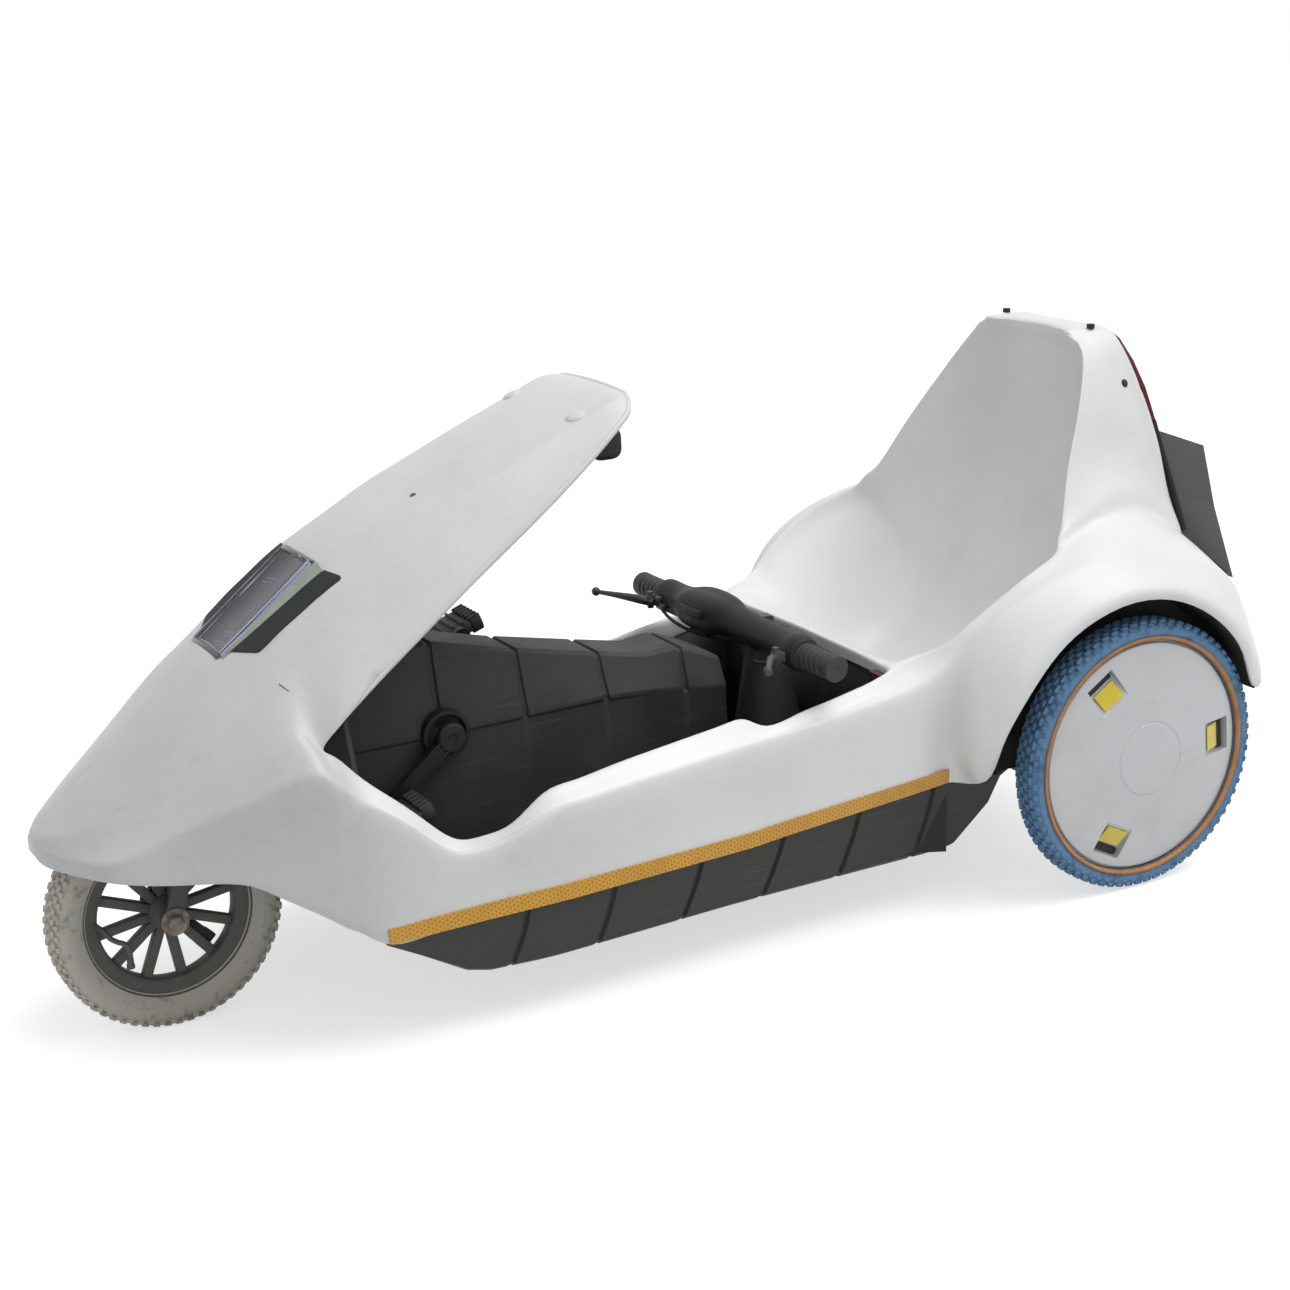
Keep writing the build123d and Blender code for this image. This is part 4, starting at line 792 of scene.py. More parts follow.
def stations(first, last, grooves, gap):
    """Places along a moulding: evenly apart, with the edges and the bottom of each groove added."""
    parts = round((last - first) / gap)
    spread = [first + (last - first) * part / parts for part in range(parts + 1)]
    plain = [(x, 0.0) for x in spread if all(abs(x - groove) >= gap * 0.6 for groove in grooves)]
    cuts = [(groove + step * GROOVE_HALF, float(abs(step) < 1)) for groove in grooves for step in (-1, -0.6, 0.6, 1)]
    return sorted(plain + cuts)


bm = bmesh.new()
rows = []
tray_front, tray_back = tray_top[0][0], tray_top[-1][0]
for x, sunk in stations(tray_front, tray_back, TRAY_GROOVES, 34.0):
    row = []
    fade = min(1.0, (x - tray_front) / 60, (tray_back - x) / 60)
    for share in (0, 0.04, 0.3, 0.6, 0.82, 0.93):
        lean = GROOVE_LEAN * fade * share ** 1.6
        _, top_y, top_z = between(tray_top, x)
        _, foot_y, foot_z = between(tray_foot, max(x - lean, tray_front))
        y, z = mixed((top_y, top_z), (foot_y, foot_z), share)
        cut = GROOVE_DEEP * sunk * (share > 0.01)
        row.append((max(x - lean, tray_front), y - cut, z + 0.3 * cut))
    near_foot = (row[-1][0], foot_y - 9, foot_z + 1.5 * sunk)
    rows.append(row + [near_foot, (row[-1][0], foot_y * 0.55, foot_z + 2.5 * sunk),
                       (row[-1][0], 0, foot_z + 2.5 * sunk)])
lay_grid(bm, rows)
for end in (rows[0], rows[-1]):
    lay_grid(bm, [end, [(x, 0, z) for x, _, z in end]])
mirrored(bm, slivers=0.0002)
lowest = min(bm.faces, key=lambda face: face.calc_center_median().z)
if lowest.normal.z > 0:
    bmesh.ops.reverse_faces(bm, faces=bm.faces)
tray = piece_of(bm, "tray", "chassis", sharp=28)
walled(tray, 0.004)
soften(tray, 0.0014, 30)
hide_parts("lower_tray")
dark_plastic = finish("dark_plastic", (0.040, 0.040, 0.039), 0.6, (0.075, 0.073, 0.068), 0.55, 7.0, depth=0.2,
                      specular=0.3)
overlay(dark_plastic, effect(dark_plastic, scuffing, "Mask", Scale=40.0, Least=0.62, Most=0.74), (0.12, 0.117, 0.112),
        0.3)
wear(tray, dark_plastic)

# ---------------------------------------------------------------- tunnel, bulkhead and steering pedestal
# A hollow tunnel of the same plastic runs back from the nose between the driver's legs. Cross grooves part it
# into plates, and a crease runs along each wall at the height of the crank. Screwed to the tray's floor.
# columns: x | top y, z | crease y, z | foot y, z
TUNNEL = [
    (-545, 40, 440, 66, 348, 78, 176), (-507, 41, 449, 66, 348, 78, 167), (-377, 43, 470, 66, 348, 78, 87),
    (-342, 44, 476, 66, 348, 78, 87), (-219, 44, 444, 66, 350, 78, 87), (-88, 44, 416, 65, 352, 76, 87),
    (4, 44, 397, 64, 345, 74, 87), (34, 48, 404, 64, 342, 74, 87), (59, 50, 399, 63, 338, 73, 87),
    (114, 46, 374, 62, 330, 72, 87),
]
TUNNEL_GROOVES = (-336, -208, -82, 47)
CRANK = (-331.0, 350.0)
bm = bmesh.new()
rows = []
for x, sunk in stations(TUNNEL[0][0], TUNNEL[-1][0], TUNNEL_GROOVES, 30.0):
    _, top_y, top_z, crease_y, crease_z, foot_y, foot_z = between(TUNNEL, x)
    cut = GROOVE_DEEP * sunk
    sharp = 3.0 if x < -40 else 1.0          # how far the wall steps in under the crease
    rows.append([(x, 0, top_z - cut), (x, top_y - 7, top_z - cut), (x, top_y - cut * 0.6, top_z - 5 - cut * 0.6),
                 (x, (top_y + crease_y) / 2 - cut, (top_z + crease_z) / 2), (x, crease_y + sharp - cut, crease_z + 6),
                 (x, crease_y + sharp - cut, crease_z), (x, crease_y, crease_z - 3),
                 (x, (crease_y + foot_y) / 2, (crease_z + foot_z) / 2), (x, foot_y, foot_z)])
lay_grid(bm, rows)
for end in (rows[0], rows[-1]):
    lay_grid(bm, [end, [(x, 0, z) for x, _, z in end]])
mirrored(bm, slivers=0.0002)
highest = max(bm.faces, key=lambda face: face.calc_center_median().z)
if highest.normal.z < 0:
    bmesh.ops.reverse_faces(bm, faces=bm.faces)
tunnel = piece_of(bm, "tunnel", "chassis", sharp=25)
soften(tunnel, 0.0012, 25)
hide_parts("centre_tunnel")
wear(tunnel, dark_plastic)

black_plastic = finish("black_plastic", (0.017, 0.017, 0.018), 0.5, (0.045, 0.044, 0.042), 0.5, 30.0, depth=0.15,
                       specular=0.3)
bm = bmesh.new()
for side in (-1, 1):
    well = turned([(15, -3), (15, 3), (26, 4), (29, 12), (34, 12), (35, 3), (35, -3)], 48)
    set_in(well, Matrix.Translation((CRANK[0], side * 66, CRANK[1])) @ Matrix.Rotation(side * -pi / 2, 4, "X"))
    joined(bm, well)
crank_wells = piece_of(bm, "crank_wells", "chassis", sharp=35)
wear(crank_wells, black_plastic)
for name in ("front_bulkhead", "steering_pedestal"):
    wear(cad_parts[name], dark_plastic)

# Black sheets down the inside of the footwell's sides and across the seat's front: painted shade, standing where the
# inside of the white shell lies in shadow.
bm = bmesh.new()
for side in (-1, 1):
    lay_grid(bm, [[(x, side * (rim_y + 3), rim_z - 12), (x, side * (rim_y + 4), rim_z / 2 + 50),
                   (x, side * (rim_y + 2), 90)] for x, rim_y, rim_z, *_ in SIDE[5:]])
seat_front = REAR_X - 361
lay_grid(bm, [[(seat_front, y, z) for z in (374, 230, 86)] for y in (-232, -110, 0, 110, 232)])
bmesh.ops.recalc_face_normals(bm, faces=bm.faces)
footwell_shade_sheets = piece_of(bm, "footwell_shade_sheets", "chassis")
walled(footwell_shade_sheets, 0.002, 0.0)
wear(footwell_shade_sheets, black_plastic)

# ---------------------------------------------------------------- front wheel
# A one-piece moulded wheel with twelve tapered spokes on a steel axle, in a small pneumatic tyre with knobs
# at the edges of its tread. Tyre, rim and axle are grey with road dust, and the axle's nuts have rusted.
FRONT_AXLE = (FRONT_X, 0, 159.0)
FRONT_RADIUS, FRONT_RIM, FRONT_HUB, NUT_Y = 159.0, 117.0, 24.0, 53.6


def on_axle(axle, side=1):
    """The place of a wheel made about Z: its height then points out on that side."""
    return Matrix.Translation(axle) @ Matrix.Rotation(side * -pi / 2, 4, "X")


def tread(bm, radius, kinds, count):
    """Rubber blocks round a tyre. Each kind: place across, half step round, size (along, across, high), tilt."""
    for across, half, (length, width, height), tilt, drop in kinds:
        sample = block((length, width, height), rounded=min(length, width) * 0.16, segments=1)
        mesh = bpy.data.meshes.new("block")
        sample.to_mesh(mesh)
        sample.free()
        for number in range(count):
            before = len(bm.verts)
            bm.from_mesh(mesh)
            bm.verts.ensure_lookup_table()
            angle = 2 * pi * (number + half) / count
            place = (Matrix.Rotation(angle, 4, "Z") @ Matrix.Translation((radius - drop - height / 2, 0, across))
                     @ Matrix.Rotation(radians(tilt), 4, "Y") @ Matrix.Rotation(pi / 2, 4, "Z")
                     @ Matrix.Rotation(pi / 2, 4, "X"))
            bmesh.ops.transform(bm, matrix=place, verts=bm.verts[before:])
        bpy.data.meshes.remove(mesh)


bm = turned([(FRONT_RIM - 5, -18), (FRONT_RIM + 1, -21), (FRONT_RIM + 12, -26.5), (FRONT_RIM + 24, -27.5), (148, -24.5),
             (153, -18), (154.5, -8), (154.5, 8), (153, 18), (148, 24.5), (FRONT_RIM + 24, 27.5),
             (FRONT_RIM + 12, 26.5),
             (FRONT_RIM + 1, 21), (FRONT_RIM - 5, 18)], 120, closed=True)
tread(bm, FRONT_RADIUS,
      [(-6.5, 0, (10, 9, 6), 0, 0.3), (6.5, 0.5, (10, 9, 6), 0, 0.3), (-16.5, 0.5, (10, 8, 6), -22, 1.4),
                         (16.5, 0, (10, 8, 6), 22, 1.4), (-22.5, 0.1, (8, 6, 6), -48, 5.4),
                         (22.5, 0.6, (8, 6, 6), 48, 5.4)], 62)
set_in(bm, on_axle(FRONT_AXLE))
front_tyre = piece_of(bm, "front_tyre_tread", "front_wheel", sharp=35)
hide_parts("front_tyre")
dusty_rubber = finish("dusty_rubber", (0.56, 0.535, 0.48), 0.85, (0.56, 0.52, 0.45), 0.7, 16.0, 0.42, 0.62, depth=0.35)
overlay(dusty_rubber, effect(dusty_rubber, soiling_and_glints, "Mask", Scale=60.0, Least=0.55, Most=0.7), (0.12, 0.11, 0.10), 0.6)
wear(front_tyre, dusty_rubber)

bm = turned([(FRONT_RIM + 2, -20), (FRONT_RIM - 3, -20), (FRONT_RIM - 5, -16), (FRONT_RIM - 16, -14),
             (FRONT_RIM - 22, -11),
             (FRONT_RIM - 24, -7), (FRONT_RIM - 24, 7), (FRONT_RIM - 22, 11), (FRONT_RIM - 16, 14), (FRONT_RIM - 5, 16),
             (FRONT_RIM - 3, 20), (FRONT_RIM + 2, 20)], 96, closed=True)
joined(bm, turned([(7, -30), (16, -30), (18, -27), (FRONT_HUB - 4, -16), (FRONT_HUB, -11), (FRONT_HUB, 11),
                   (FRONT_HUB - 4, 16), (18, 27), (16, 30), (7, 30)], 48, closed=True))
for number in range(12):
    spoke = block((76, 8.4, 13), (0, 0, 0), 2.0)
    for corner in spoke.verts:
        reach = corner.co.x / 38                     # -1 at the hub, 1 at the rim
        corner.co.y *= 1.0 - 0.22 * reach + (0.85 if reach > 0.92 else 0.35 * (reach < -0.92))
        corner.co.z *= 1.1 - 0.15 * reach
    bmesh.ops.translate(spoke, vec=(57, 0, 0), verts=spoke.verts)
    bmesh.ops.rotate(spoke, cent=(0, 0, 0), matrix=Matrix.Rotation(radians(21 + 30 * number), 3, "Z"),
                     verts=spoke.verts)
    joined(bm, spoke)
set_in(bm, on_axle(FRONT_AXLE))
front_rim = piece_of(bm, "front_rim_spokes", "front_wheel", sharp=32)
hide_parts("front_rim")
grey_rim = finish("dusty_grey_rim", (0.085, 0.083, 0.076), 0.6, (0.17, 0.16, 0.135), 0.65, 26.0, 0.42, 0.68, depth=0.25)
wear(front_rim, grey_rim)

# the valve bends out past a spoke, and a balance block is clamped between two others
valve = tube("front_valve", "front_wheel", [(-821, -6, 166), (-812, -24, 160), (-806, -34, 150), (-796, -36, 143),
                                            (-786, -34, 138), (-780, -33, 124), (-782, -32, 112)], 3.6)
wear(valve, grey_rim)
bm = turned([(0, -6), (5.5, -6), (5.5, -1), (4.6, 0), (4.6, 8), (3.4, 10), (0, 10)], 20)
set_in(bm, Matrix.Translation((-782, -32, 108)))
valve_cap = piece_of(bm, "front_valve_cap", "front_wheel")
wear(valve_cap, grey_rim)
bm = block((30, 22, 16), rounded=2.0)
joined(bm, block((18, 24, 10), (20, 0, 0), 1.5))
set_in(bm, on_axle(FRONT_AXLE) @ Matrix.Rotation(radians(46), 4, "Z") @ Matrix.Translation((58, 0, 10)))
rim_block = piece_of(bm, "rim_block", "front_wheel")
wear(rim_block, black_plastic)

rusty_steel = finish("rusty_steel", (0.26, 0.225, 0.20), 0.5, (0.15, 0.085, 0.055), 0.55, 70.0, 0.4, 0.6, metallic=0.35)
wear(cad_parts["front_axle"], rusty_steel)
bm = bmesh.new()
for side in (-1, 1):
    nut = turned([(0, 4), (9, 4), (11.5, 1.5), (11.5, -4), (19, -4.2), (19, -6.4), (0, -6.4)], 40)
    for corner in nut.verts:
        if corner.co.z > -4.1:                       # six flats
            around = atan2(corner.co.y, corner.co.x) % (pi / 3) - pi / 6
            corner.co.x, corner.co.y = (c * cos(pi / 6) / cos(around) for c in (corner.co.x, corner.co.y))
    set_in(nut, on_axle((FRONT_X, side * NUT_Y, FRONT_AXLE[2]), side))
    joined(bm, nut)
axle_nuts = piece_of(bm, "axle_nuts", "front_fork", sharp=30)
wear(axle_nuts, rusty_steel)
black_steel = finish("black_steel", (0.03, 0.03, 0.029), 0.42, (0.10, 0.092, 0.08), 0.6, 30.0, 0.45, 0.7)
wear(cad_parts["front_fork"], black_steel)

# ---------------------------------------------------------------- handlebar
# A steel bar under the driver's knees on a stem through the pedestal. Its middle is in a soft black moulding
# with a square bulge for the controls, with ribbed rubber grips and a brake lever on each side.
BAR_X, BAR_Z, BAR_END = 165.0, 404.0, 281.0
wear(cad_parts["handlebar"], black_steel)
# columns: place across | middle x, z | half width, half height | how square, 0 to 1
COVER = [
    (-202, 165, 404, 20, 20, 0), (-199, 165, 404, 26, 26, 0), (-176, 165, 405, 27, 27, 0.1),
    (-168, 166, 406, 23, 22, 0.1),
    (-110, 167, 408, 22.5, 21, 0.05), (-40, 168, 409, 23, 20, 0.05), (-5, 167, 410, 24, 22, 0.1),
    (14, 166, 410, 30, 26, 0.5),
    (36, 165, 409, 35, 28, 0.8), (84, 165, 409, 36, 29, 0.9), (112, 166, 407, 33, 27, 0.8),
    (130, 165, 405, 26, 25, 0.3),
    (150, 165, 404, 25, 25, 0), (190, 165, 404, 26, 26, 0), (199, 165, 404, 26, 26, 0), (202, 165, 404, 20, 20, 0),
]
bm = bmesh.new()
AROUND = 24
rows = []
for across, middle_x, middle_z, half_x, half_z, square in COVER:
    ring = []
    for number in range(AROUND + 1):
        angle = 2 * pi * number / AROUND
        swell = 1 + square * 0.22 * abs(sin(2 * angle)) ** 1.5
        ring.append((middle_x + half_x * swell * cos(angle), across, middle_z + half_z * swell * sin(angle)))
    rows.append(ring)
lay_grid(bm, rows)
for ring in (rows[0], rows[-1]):
    lay_grid(bm, [ring, [(BAR_X + (x - BAR_X) * 0.5, y, BAR_Z + (z - BAR_Z) * 0.5) for x, y, z in ring]])
bmesh.ops.remove_doubles(bm, verts=bm.verts, dist=0.0002)
bmesh.ops.recalc_face_normals(bm, faces=bm.faces)
bar_moulding = piece_of(bm, "bar_moulding", "handlebar")
smoothing = bar_moulding.modifiers.new("smooth", "SUBSURF")
smoothing.levels = smoothing.render_levels = 2
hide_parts("bar_cover")
soft_black = finish("soft_black", (0.016, 0.016, 0.016), 0.55, (0.05, 0.048, 0.045), 0.5, 24.0, depth=0.3,
                    specular=0.25)
wear(bar_moulding, soft_black)
bm = block((70, 84, 26), (206, 0, 384), 9.0, 3)
joined(bm, block((10, 66, 14), (129, 66, 414), 3.0))
joined(bm, block((26, 54, 22), (158, 76, 384), 6.0))
set_in(bm, Matrix())
stem_moulding = piece_of(bm, "stem_moulding", "handlebar", sharp=40)
wear(stem_moulding, soft_black)

bm = bmesh.new()
ribs = [(11.2, 0), (20.5, 0), (21.5, 2), (21.5, 10), (18, 13)]
for rib in range(5):
    start = 15 + rib * 13.0
    ribs += [(16.0, start), (16.0, start + 3), (18.4, start + 5), (18.6, start + 9), (17.8, start + 12)]
ribs += [(18.8, 82), (19, 90), (17.6, 92), (4, 92), (3.2, 91), (0, 91)]
for side in (-1, 1):
    grip = turned(ribs, 40)
    set_in(grip, on_axle((BAR_X, side * (BAR_END - 92), BAR_Z), side))
    joined(bm, grip)
ribbed_grips = piece_of(bm, "ribbed_grips", "handlebar", sharp=50)
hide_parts("handlebar_grips")
grip_rubber = finish("grip_rubber", (0.028, 0.028, 0.028), 0.62, (0.06, 0.058, 0.054), 0.5, 40.0, depth=0.35)
wear(ribbed_grips, grip_rubber)

bm = bmesh.new()
for side in (-1, 1):
    clamp = turned([(11.3, -6.5), (17, -6.5), (18, -5), (18, 5), (17, 6.5), (11.3, 6.5)], 32, closed=True)
    set_in(clamp, on_axle((BAR_X, side * 179.5, BAR_Z), side))
    joined(bm, clamp)
    for size, middle, rounding in (((26, 15, 14), (142, side * 181, 403), 3.0),
                                   ((15, 12, 19), (127, side * 184, 405), 4.0),
                                   ((9, 22, 9), (137, side * 170, 396), 2.5)):
        lug = block(size, middle, rounding)
        set_in(lug, Matrix())
        joined(bm, lug)
    pin = turned([(0, 13), (4.4, 13), (5, 12), (5, -12), (4.4, -13), (0, -13)], 20)
    set_in(pin, Matrix.Translation((126, side * 184, 406)))
    joined(bm, pin)
lever_clamps = piece_of(bm, "lever_clamps", "handlebar", sharp=35)
wear(lever_clamps, black_steel)
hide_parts("brake_levers")
for name, side in (("left", -1), ("right", 1)):
    blade = tube(name + "_lever_blade", "handlebar",
                 [(128, side * 180, 402), (119, side * 188, 405), (103, side * 208, 408), (88, side * 230, 410),
                  (74, side * 250, 411.5), (70, side * 256, 412)], 5.0, swell=[1.3, 1.5, 1.25, 0.9, 0.7, 0.7])
    wear(blade, black_steel)
    bm = turned([(0, 7), (2.7, 6.5), (5, 4.9), (6.5, 2.6), (7, 0), (6.5, -2.6), (5, -4.9), (2.7, -6.5), (0, -7)], 24)
    set_in(bm, Matrix.Translation((70, side * 256, 412)))
    ball = piece_of(bm, name + "_lever_ball", "handlebar")
    wear(ball, black_steel)
    # the lever's cable runs back under the moulding and into the stem
    loop = tube(name + "_brake_cable", "handlebar",
                [(136, side * 172, 396), (134, side * 150, 386), (140, side * 110, 376), (158, side * 70, 368),
                 (182, side * 36, 366), (204, side * 14, 372), (214, side * 6, 382)], 2.6)
    wear(loop, black_plastic)

# ---------------------------------------------------------------- switch box and instrument pod
# The key switch is in a small box on the left side's rim, and the instrument pod hangs under the hood's back.
red_black = finish("red_black_box", (0.022, 0.014, 0.013), 0.5, (0.10, 0.022, 0.016), 0.8, 70.0, 0.48, 0.6)
wear(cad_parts["switch_box"], red_black)
bm = block((46, 132, 46), (-57, 0, 711), 15.0, 5)
joined(bm, block((30, 96, 16), (-64, 0, 738), 4.0, 2))
set_in(bm, Matrix())
pod = piece_of(bm, "pod_housing", "chassis")
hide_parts("instrument_pod")
wear(pod, black_plastic)

# ---------------------------------------------------------------- cranks and pedals
# Black arms on an axle through the tunnel, each with a rib along its face and a socket in its boss.
# The pedals are ribbed blocks that turn on a spindle.
SPINDLES = {-1: (-432.03, 268.19), 1: (-229.97, 431.81)}
wear(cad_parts["crankset"], black_plastic)
bm = bmesh.new()
for side, (end_x, end_z) in SPINDLES.items():
    boss = turned([(4.5, -5), (4.5, 0), (8, 0.6), (8, 2.4), (18, 2.4), (20.5, 0), (20.5, -9), (8, -11)], 40,
                  closed=True)
    set_in(boss, on_axle((CRANK[0], side * 95, CRANK[1]), side))
    joined(bm, boss)
    tip = turned([(0, 1.4), (11, 1.4), (13, -0.6), (13, -10), (0, -11)], 32)
    set_in(tip, on_axle((end_x, side * 95, end_z), side))
    joined(bm, tip)
    for offset, height in ((-8.5, 2.2), (8.5, 2.2), (0, 1.2)):
        rib = block((104, 3.4, height + 1), (66, offset, 95 + height / 2 - 0.5), 0.9)
        turn = atan2(end_z - CRANK[1], end_x - CRANK[0])
        place = Matrix.Translation((CRANK[0], 0, CRANK[1])) @ Matrix.Rotation(-turn, 4, "Y")
        bmesh.ops.transform(rib, matrix=Matrix.Rotation(side * -pi / 2, 4, "X"), verts=rib.verts)
        set_in(rib, place)
        joined(bm, rib)
crank_ribs = piece_of(bm, "crank_ribs", "crankset", sharp=35)
wear(crank_ribs, black_plastic)
for name, side in (("left", -1), ("right", 1)):
    end_x, end_z = SPINDLES[side]
    bm = block((50, 66, 17), (0, 134, 0), 3.0)
    for end in (-1, 1):
        joined(bm, block((20, 68, 22), (end * 33, 134, 0), 5.0))
        for rib in range(6):
            joined(bm, block((19, 5.5, 25.6), (end * 33, 106 + rib * 11.2, 0), 1.6, 1))
    for across in (-14, 0, 14):
        joined(bm, block((5, 62, 24), (across, 134, 0), 1.6, 1))
    bmesh.ops.scale(bm, vec=(1, side, 1), verts=bm.verts)
    if side < 0:
        bmesh.ops.reverse_faces(bm, faces=bm.faces)
    set_in(bm, Matrix.Translation((end_x, 0, end_z)) @ Matrix.Rotation(radians(-20), 4, "Y"))
    pedal = piece_of(bm, name + "_pedal_block", name + "_pedal", sharp=35)
    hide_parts(name + "_pedal")
    wear(pedal, grip_rubber)

# ---------------------------------------------------------------- rear wheels
# Each has a small bicycle tyre with a blue block tread and a thin tan wall, on a pale rim. A domed silver cover
# clips into the rim: three windows near its edge are moulded down to a slot, each with a yellow reflector.
REAR_RADIUS, REAR_RIM, WHEEL_Y, REAR_Z = 203.0, 172.0, 330.0, 203.0
COVER_DOME = [(0, 39.5), (30, 38.6), (54, 36.6), (54.6, 35.6), (55.6, 35.6), (56.2, 36.4), (84, 33.4), (112, 30),
              (140, 26.4), (160, 22.6), (168.5, 19.6), (170.5, 17), (170.5, 8), (160, 4), (0, 4)]
WINDOW_ANGLES, WINDOW_INNER, WINDOW_OUTER, WINDOW_HALF = (123, 3, -117), 108.0, 163.0, 25.0
blue_rubber = finish("blue_rubber", (0.115, 0.235, 0.40), 0.7, (0.04, 0.085, 0.16), 0.6, 55.0, 0.5, 0.66, depth=0.3)
overlay(blue_rubber, effect(blue_rubber, soiling_and_glints, "Mask", Scale=90.0, Least=0.6, Most=0.75), (0.14, 0.23, 0.36), 0.5)
tan_wall = finish("tan_wall", (0.50, 0.235, 0.085), 0.7, (0.25, 0.13, 0.06), 0.6, 40.0, depth=0.3)
silver_cover = finish("silver_cover", (0.54, 0.55, 0.56), 0.33, (0.40, 0.41, 0.41), 0.35, 7.0, metallic=0.25,
                      depth=0.05)
overlay(silver_cover, effect(silver_cover, scuffing, "Mask", Scale=70.0, Least=0.64, Most=0.74), (0.38, 0.38, 0.36),
        0.25)
yellow_reflector = finish("yellow_reflector", (0.75, 0.58, 0.02), 0.25, (0.62, 0.42, 0.02), 0.5, 60.0, grain=900.0,
                          coat=0.4)
pale_rim = finish("pale_rim", (0.42, 0.40, 0.34), 0.4, (0.27, 0.24, 0.19), 0.6, 30.0, metallic=0.5)
for name, side in (("left", -1), ("right", 1)):
    axle = (REAR_X, side * WHEEL_Y, REAR_Z)
    body = name + "_rear_wheel"
    bm = turned([(REAR_RIM + 1, -17), (REAR_RIM + 5, -21), (REAR_RIM + 14, -24), (192, -22.5), (197, -17), (199, -8),
                 (199, 8), (197, 17), (192, 22.5), (REAR_RIM + 14, 24), (REAR_RIM + 5, 21), (REAR_RIM + 1, 17)], 144,
                closed=True)
    tread(bm, REAR_RADIUS, [
        (-4.6, 0, (11, 7.6, 6), 0, 0.2), (4.6, 0.5, (11, 7.6, 6), 0, 0.2), (-13, 0.5, (12, 6.6, 6), -18, 1.2),
        (13, 0, (12, 6.6, 6), 18, 1.2), (-19.8, 0, (8.5, 7.5, 6), -52, 5.0), (19.8, 0.5, (8.5, 7.5, 6), 52, 5.0),
        (-21.6, 0.5, (7, 5, 5), -72, 10.4), (21.6, 0, (7, 5, 5), 72, 10.4)], 72)
    set_in(bm, on_axle(axle, side))
    tyre = piece_of(bm, name + "_block_tread", body, sharp=35)
    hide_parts(name + "_rear_tyre")
    wear(tyre, blue_rubber)
    bm = turned([(REAR_RIM + 1.5, 18), (REAR_RIM + 2.5, 23), (REAR_RIM + 5, 24.4), (REAR_RIM + 7.5, 24.8),
                 (REAR_RIM + 7.5, 21)],
                120, closed=True)
    joined(bm, turned([(REAR_RIM + 1.5, -18), (REAR_RIM + 2.5, -23), (REAR_RIM + 5, -24.4), (REAR_RIM + 7.5, -24.8),
                       (REAR_RIM + 7.5, -21)], 120, closed=True))
    set_in(bm, on_axle(axle, side))
    wall = piece_of(bm, name + "_tan_wall", body)
    wear(wall, tan_wall)
    wear(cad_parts[name + "_rear_rim"], pale_rim)

    bm = turned(COVER_DOME, 120)
    set_in(bm, on_axle(axle, side))
    cover = piece_of(bm, name + "_silver_cover", body)
    reflectors, slot_shades = bmesh.new(), bmesh.new()
    cutter = bmesh.new()
    for angle in WINDOW_ANGLES:
        # a window's recess: its floor slopes down from the hub side to the slot at the rim side
        place = on_axle(axle, side) @ Matrix.Rotation(radians(-angle * side), 4, "Z")
        recess = block((WINDOW_OUTER - WINDOW_INNER, 2 * WINDOW_HALF, 40), ((WINDOW_INNER + WINDOW_OUTER) / 2, 0, 31))
        for corner in recess.verts:
            if corner.co.z < 30:
                corner.co.z = 29.0 if corner.co.x < 130 else 8.0
                corner.co.x -= 13.0 if corner.co.x > 130 else 0.0
        set_in(recess, place)
        joined(cutter, recess)
        plate = block((27, 38, 1.6), (WINDOW_INNER + 17, 0, 23.6), 0.5, turn=Matrix.Rotation(radians(21.5), 3, "Y"))
        set_in(plate, place)
        joined(reflectors, plate)
        # a black block where the window's slot opens: painted shade standing for the dark inside the slot
        slot_shade_box = block((10, 46, 5), (WINDOW_OUTER - 18, 0, 12.5), 0.5)
        set_in(slot_shade_box, place)
        joined(slot_shades, slot_shade_box)
    for made, label, paint_of, of_slot in ((reflectors, "_reflectors", yellow_reflector, "amber_tape"),
                                           (slot_shades, "_cover_slot_shades", black_plastic, "black_plastic")):
        wear(piece_of(made, name + label, body, smooth=False), paint_of)
    cut_out(cover, cutter)
    cover.data.set_sharp_from_angle(angle=radians(24))
    soften(cover, 0.0008, 40)
    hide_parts(name + "_wheel_cover")
    wear(cover, silver_cover)

# ---------------------------------------------------------------- wheel wells
# Black liners close the arches round the rear wheels, with a wall between each wheel and the seat.
bm = bmesh.new()
WELL_RADIUS = ARCH_RADIUS + 2
for side in (-1, 1):
    liner = turned([(150, -86), (WELL_RADIUS, -86), (WELL_RADIUS, -2), (WELL_RADIUS - 2.5, -2),
                    (WELL_RADIUS - 2.5, -83.5),
                    (150, -83.5)], 96, closed=True)
    set_in(liner, on_axle((REAR_X + ARCH_X, side * 368, ARCH_Z), side))
    joined(bm, liner)
well_middle = Vector((REAR_X + ARCH_X, 0, ARCH_Z)) * MM
for cut_at in (0, ARCH[-1][3]):
    bmesh.ops.bisect_plane(bm, geom=bm.verts[:] + bm.edges[:] + bm.faces[:], plane_co=well_middle,
                           plane_no=(sin(radians(cut_at)), 0, -cos(radians(cut_at))), clear_outer=True)
for corner in bm.verts:
    corner.co.z = well_middle.z + (corner.co.z - well_middle.z) * ARCH_RISE
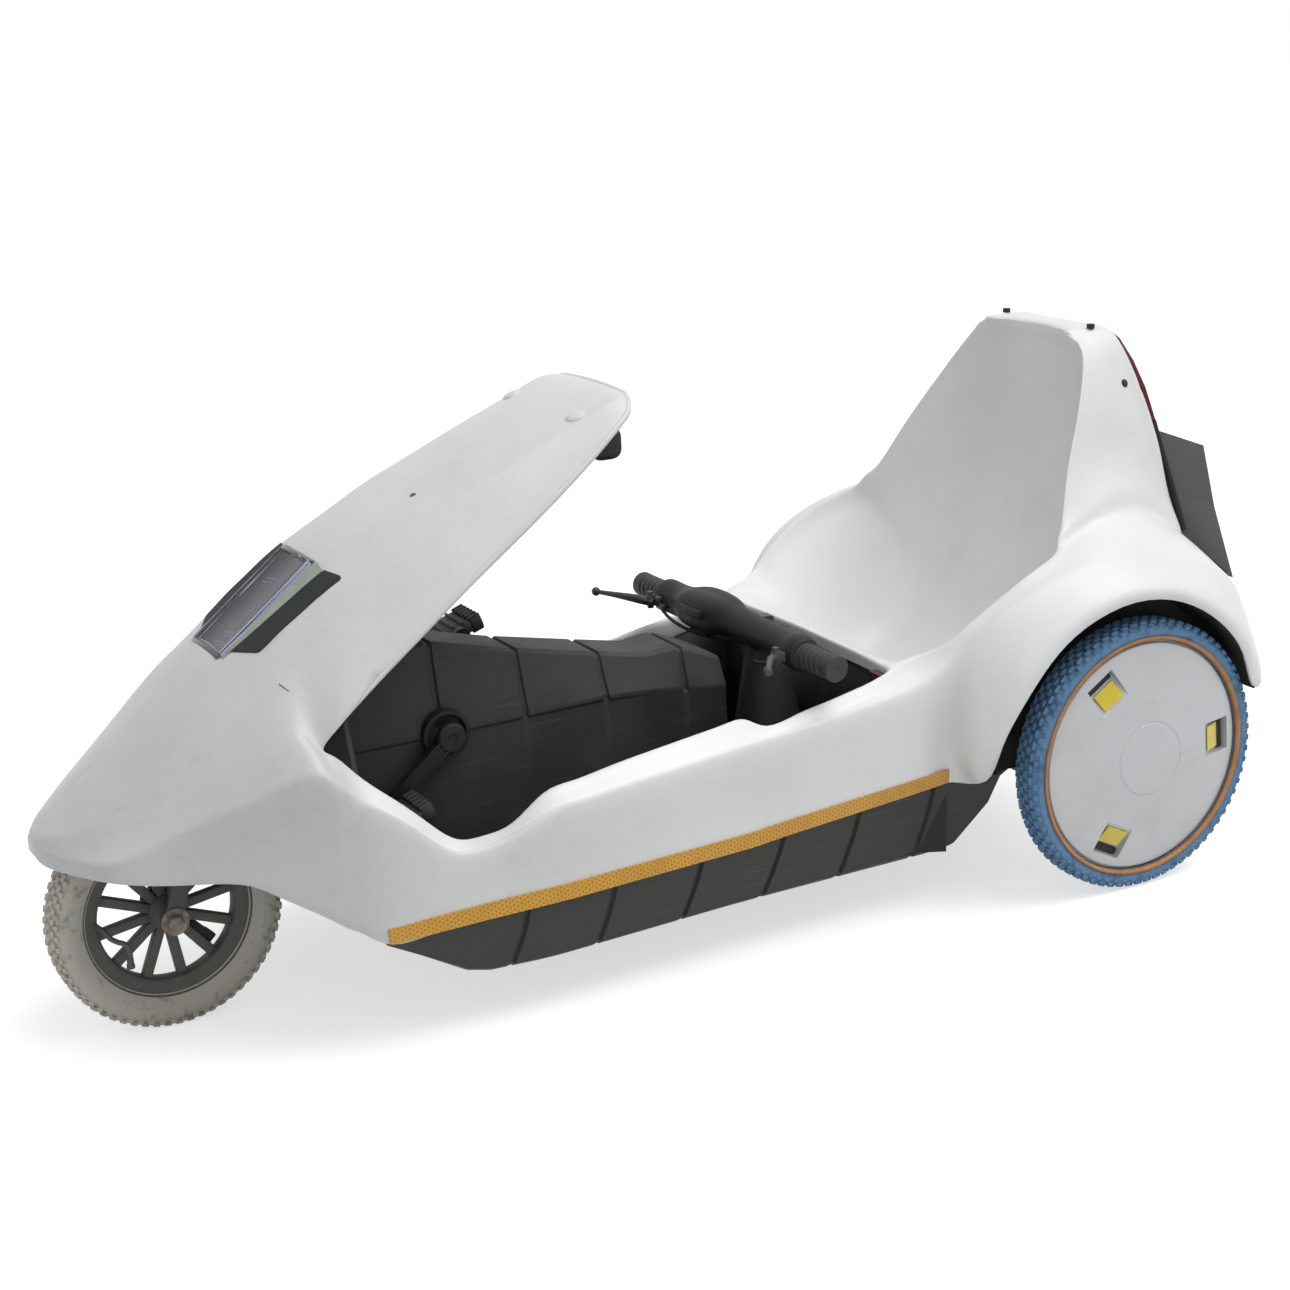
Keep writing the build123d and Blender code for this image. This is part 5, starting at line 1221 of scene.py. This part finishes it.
# the liner's outer edge keeps inside the arch's lip
lips = sorted((angle, lip_y) for *_, angle, lip_y in ARCH)
for corner in bm.verts:
    rise = corner.co - well_middle
    around = min(max(degrees(atan2(rise.z, rise.x)), lips[0][0]), lips[-1][0])
    if abs(corner.co.y) > 0.32:
        limit = (between(lips, around)[1] - 4) * MM
        corner.co.y = max(-limit, min(limit, corner.co.y))
bmesh.ops.holes_fill(bm, edges=bm.edges, sides=12)
wheel_wells = piece_of(bm, "wheel_wells", "chassis", sharp=35)
wear(wheel_wells, black_plastic)

# ---------------------------------------------------------------- tower fittings, tail lamp and boot
# Two black studs on top of the backrest, a plug in each side, a dark red lamp strip down the back, and a grey
# lid over the boot that swings up on two hinges against a black rubber seal.
wear(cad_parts["seat_back_studs"], black_plastic)
PLUG_X, PLUG_Z = 758.0, 710.0
bm = bmesh.new()
for side in (-1, 1):
    hit, normal, *_ = shell_surface.ray_cast(Vector((PLUG_X, side * 500, PLUG_Z)) * MM, Vector((0, -side, 0)))
    plug = turned([(0, 3.2), (3, 2.9), (5.5, 1.6), (6.4, 0), (6.4, -2), (0, -2)], 24)
    set_in(plug, facing(hit / MM, normal))
    joined(bm, plug)
side_plugs = piece_of(bm, "side_plugs", "chassis")
wear(side_plugs, black_plastic)
red_lens = finish("red_lens", (0.10, 0.006, 0.012), 0.3, (0.05, 0.004, 0.008), 0.5, 40.0, grain=600.0, depth=0.05,
                  specular=0.2)
LAMP_ROWS = [(783, 119, 92), (770, 124, 116), (738, 133, 138), (700, 142, 155), (673, 147, 163), (650, 152, 168)]
bm = bmesh.new()
half_lamp = [[(REAR_X + x - 2, y + 2, z), (REAR_X + x + 10, y + 1, z), (REAR_X + x + 14, y - 3, z),
              (REAR_X + x + 16, y / 2, z), (REAR_X + x + 16, 0, z)] for z, x, y in LAMP_ROWS]
for row, at in ((half_lamp[0], 0), (half_lamp[-1], len(half_lamp) + 1)):
    half_lamp.insert(at, [(row[0][0] - 6, y, z) for _, y, z in row])
lay_grid(bm, half_lamp)
mirrored(bm)
lamp_strip = piece_of(bm, "tail_lamp_strip", "chassis", sharp=40)
soften(lamp_strip, 0.0015, 35)
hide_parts("tail_lamp")
wear(lamp_strip, red_lens)
SEAL_LINE = [(160, 167, 650), (167, 176, 612), (180, 185, 560), (188, 192, 520), (197, 198, 482)]
for name, side in (("left", -1), ("right", 1)):
    seal = tube(name + "_boot_seal", "chassis", [(REAR_X + x, side * y, z) for x, y, z in SEAL_LINE], 4.2)
    wear(seal, soft_black)
lid_grey = finish("lid_grey", (0.060, 0.063, 0.066), 0.46, (0.09, 0.09, 0.088), 0.4, 9.0, depth=0.2)
wear(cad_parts["boot_lid"], lid_grey)
wear(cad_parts["boot_tub"], dark_plastic)
wear(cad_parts["boot_hinges"], black_steel)

# ---------------------------------------------------------------- frame, rear axle, motor and battery
# A pressed steel spine runs under the tray's floor. The axle turns in its back end, with the motor beside it,
# and the battery stands behind the seat under the boot.
wear(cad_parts["chassis_spine"], black_steel)
plain_steel = finish("plain_steel", (0.36, 0.36, 0.355), 0.4, (0.20, 0.15, 0.11), 0.6, 40.0, metallic=0.9)
wear(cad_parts["rear_axle"], plain_steel)
cast_metal = finish("cast_metal", (0.30, 0.30, 0.30), 0.55, (0.12, 0.115, 0.105), 0.6, 24.0, metallic=0.7, depth=0.4)
wear(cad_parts["drive_motor"], cast_metal)
case_grey = finish("case_grey", (0.05, 0.052, 0.056), 0.5, (0.10, 0.095, 0.085), 0.5, 16.0)
wear(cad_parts["battery"], case_grey)
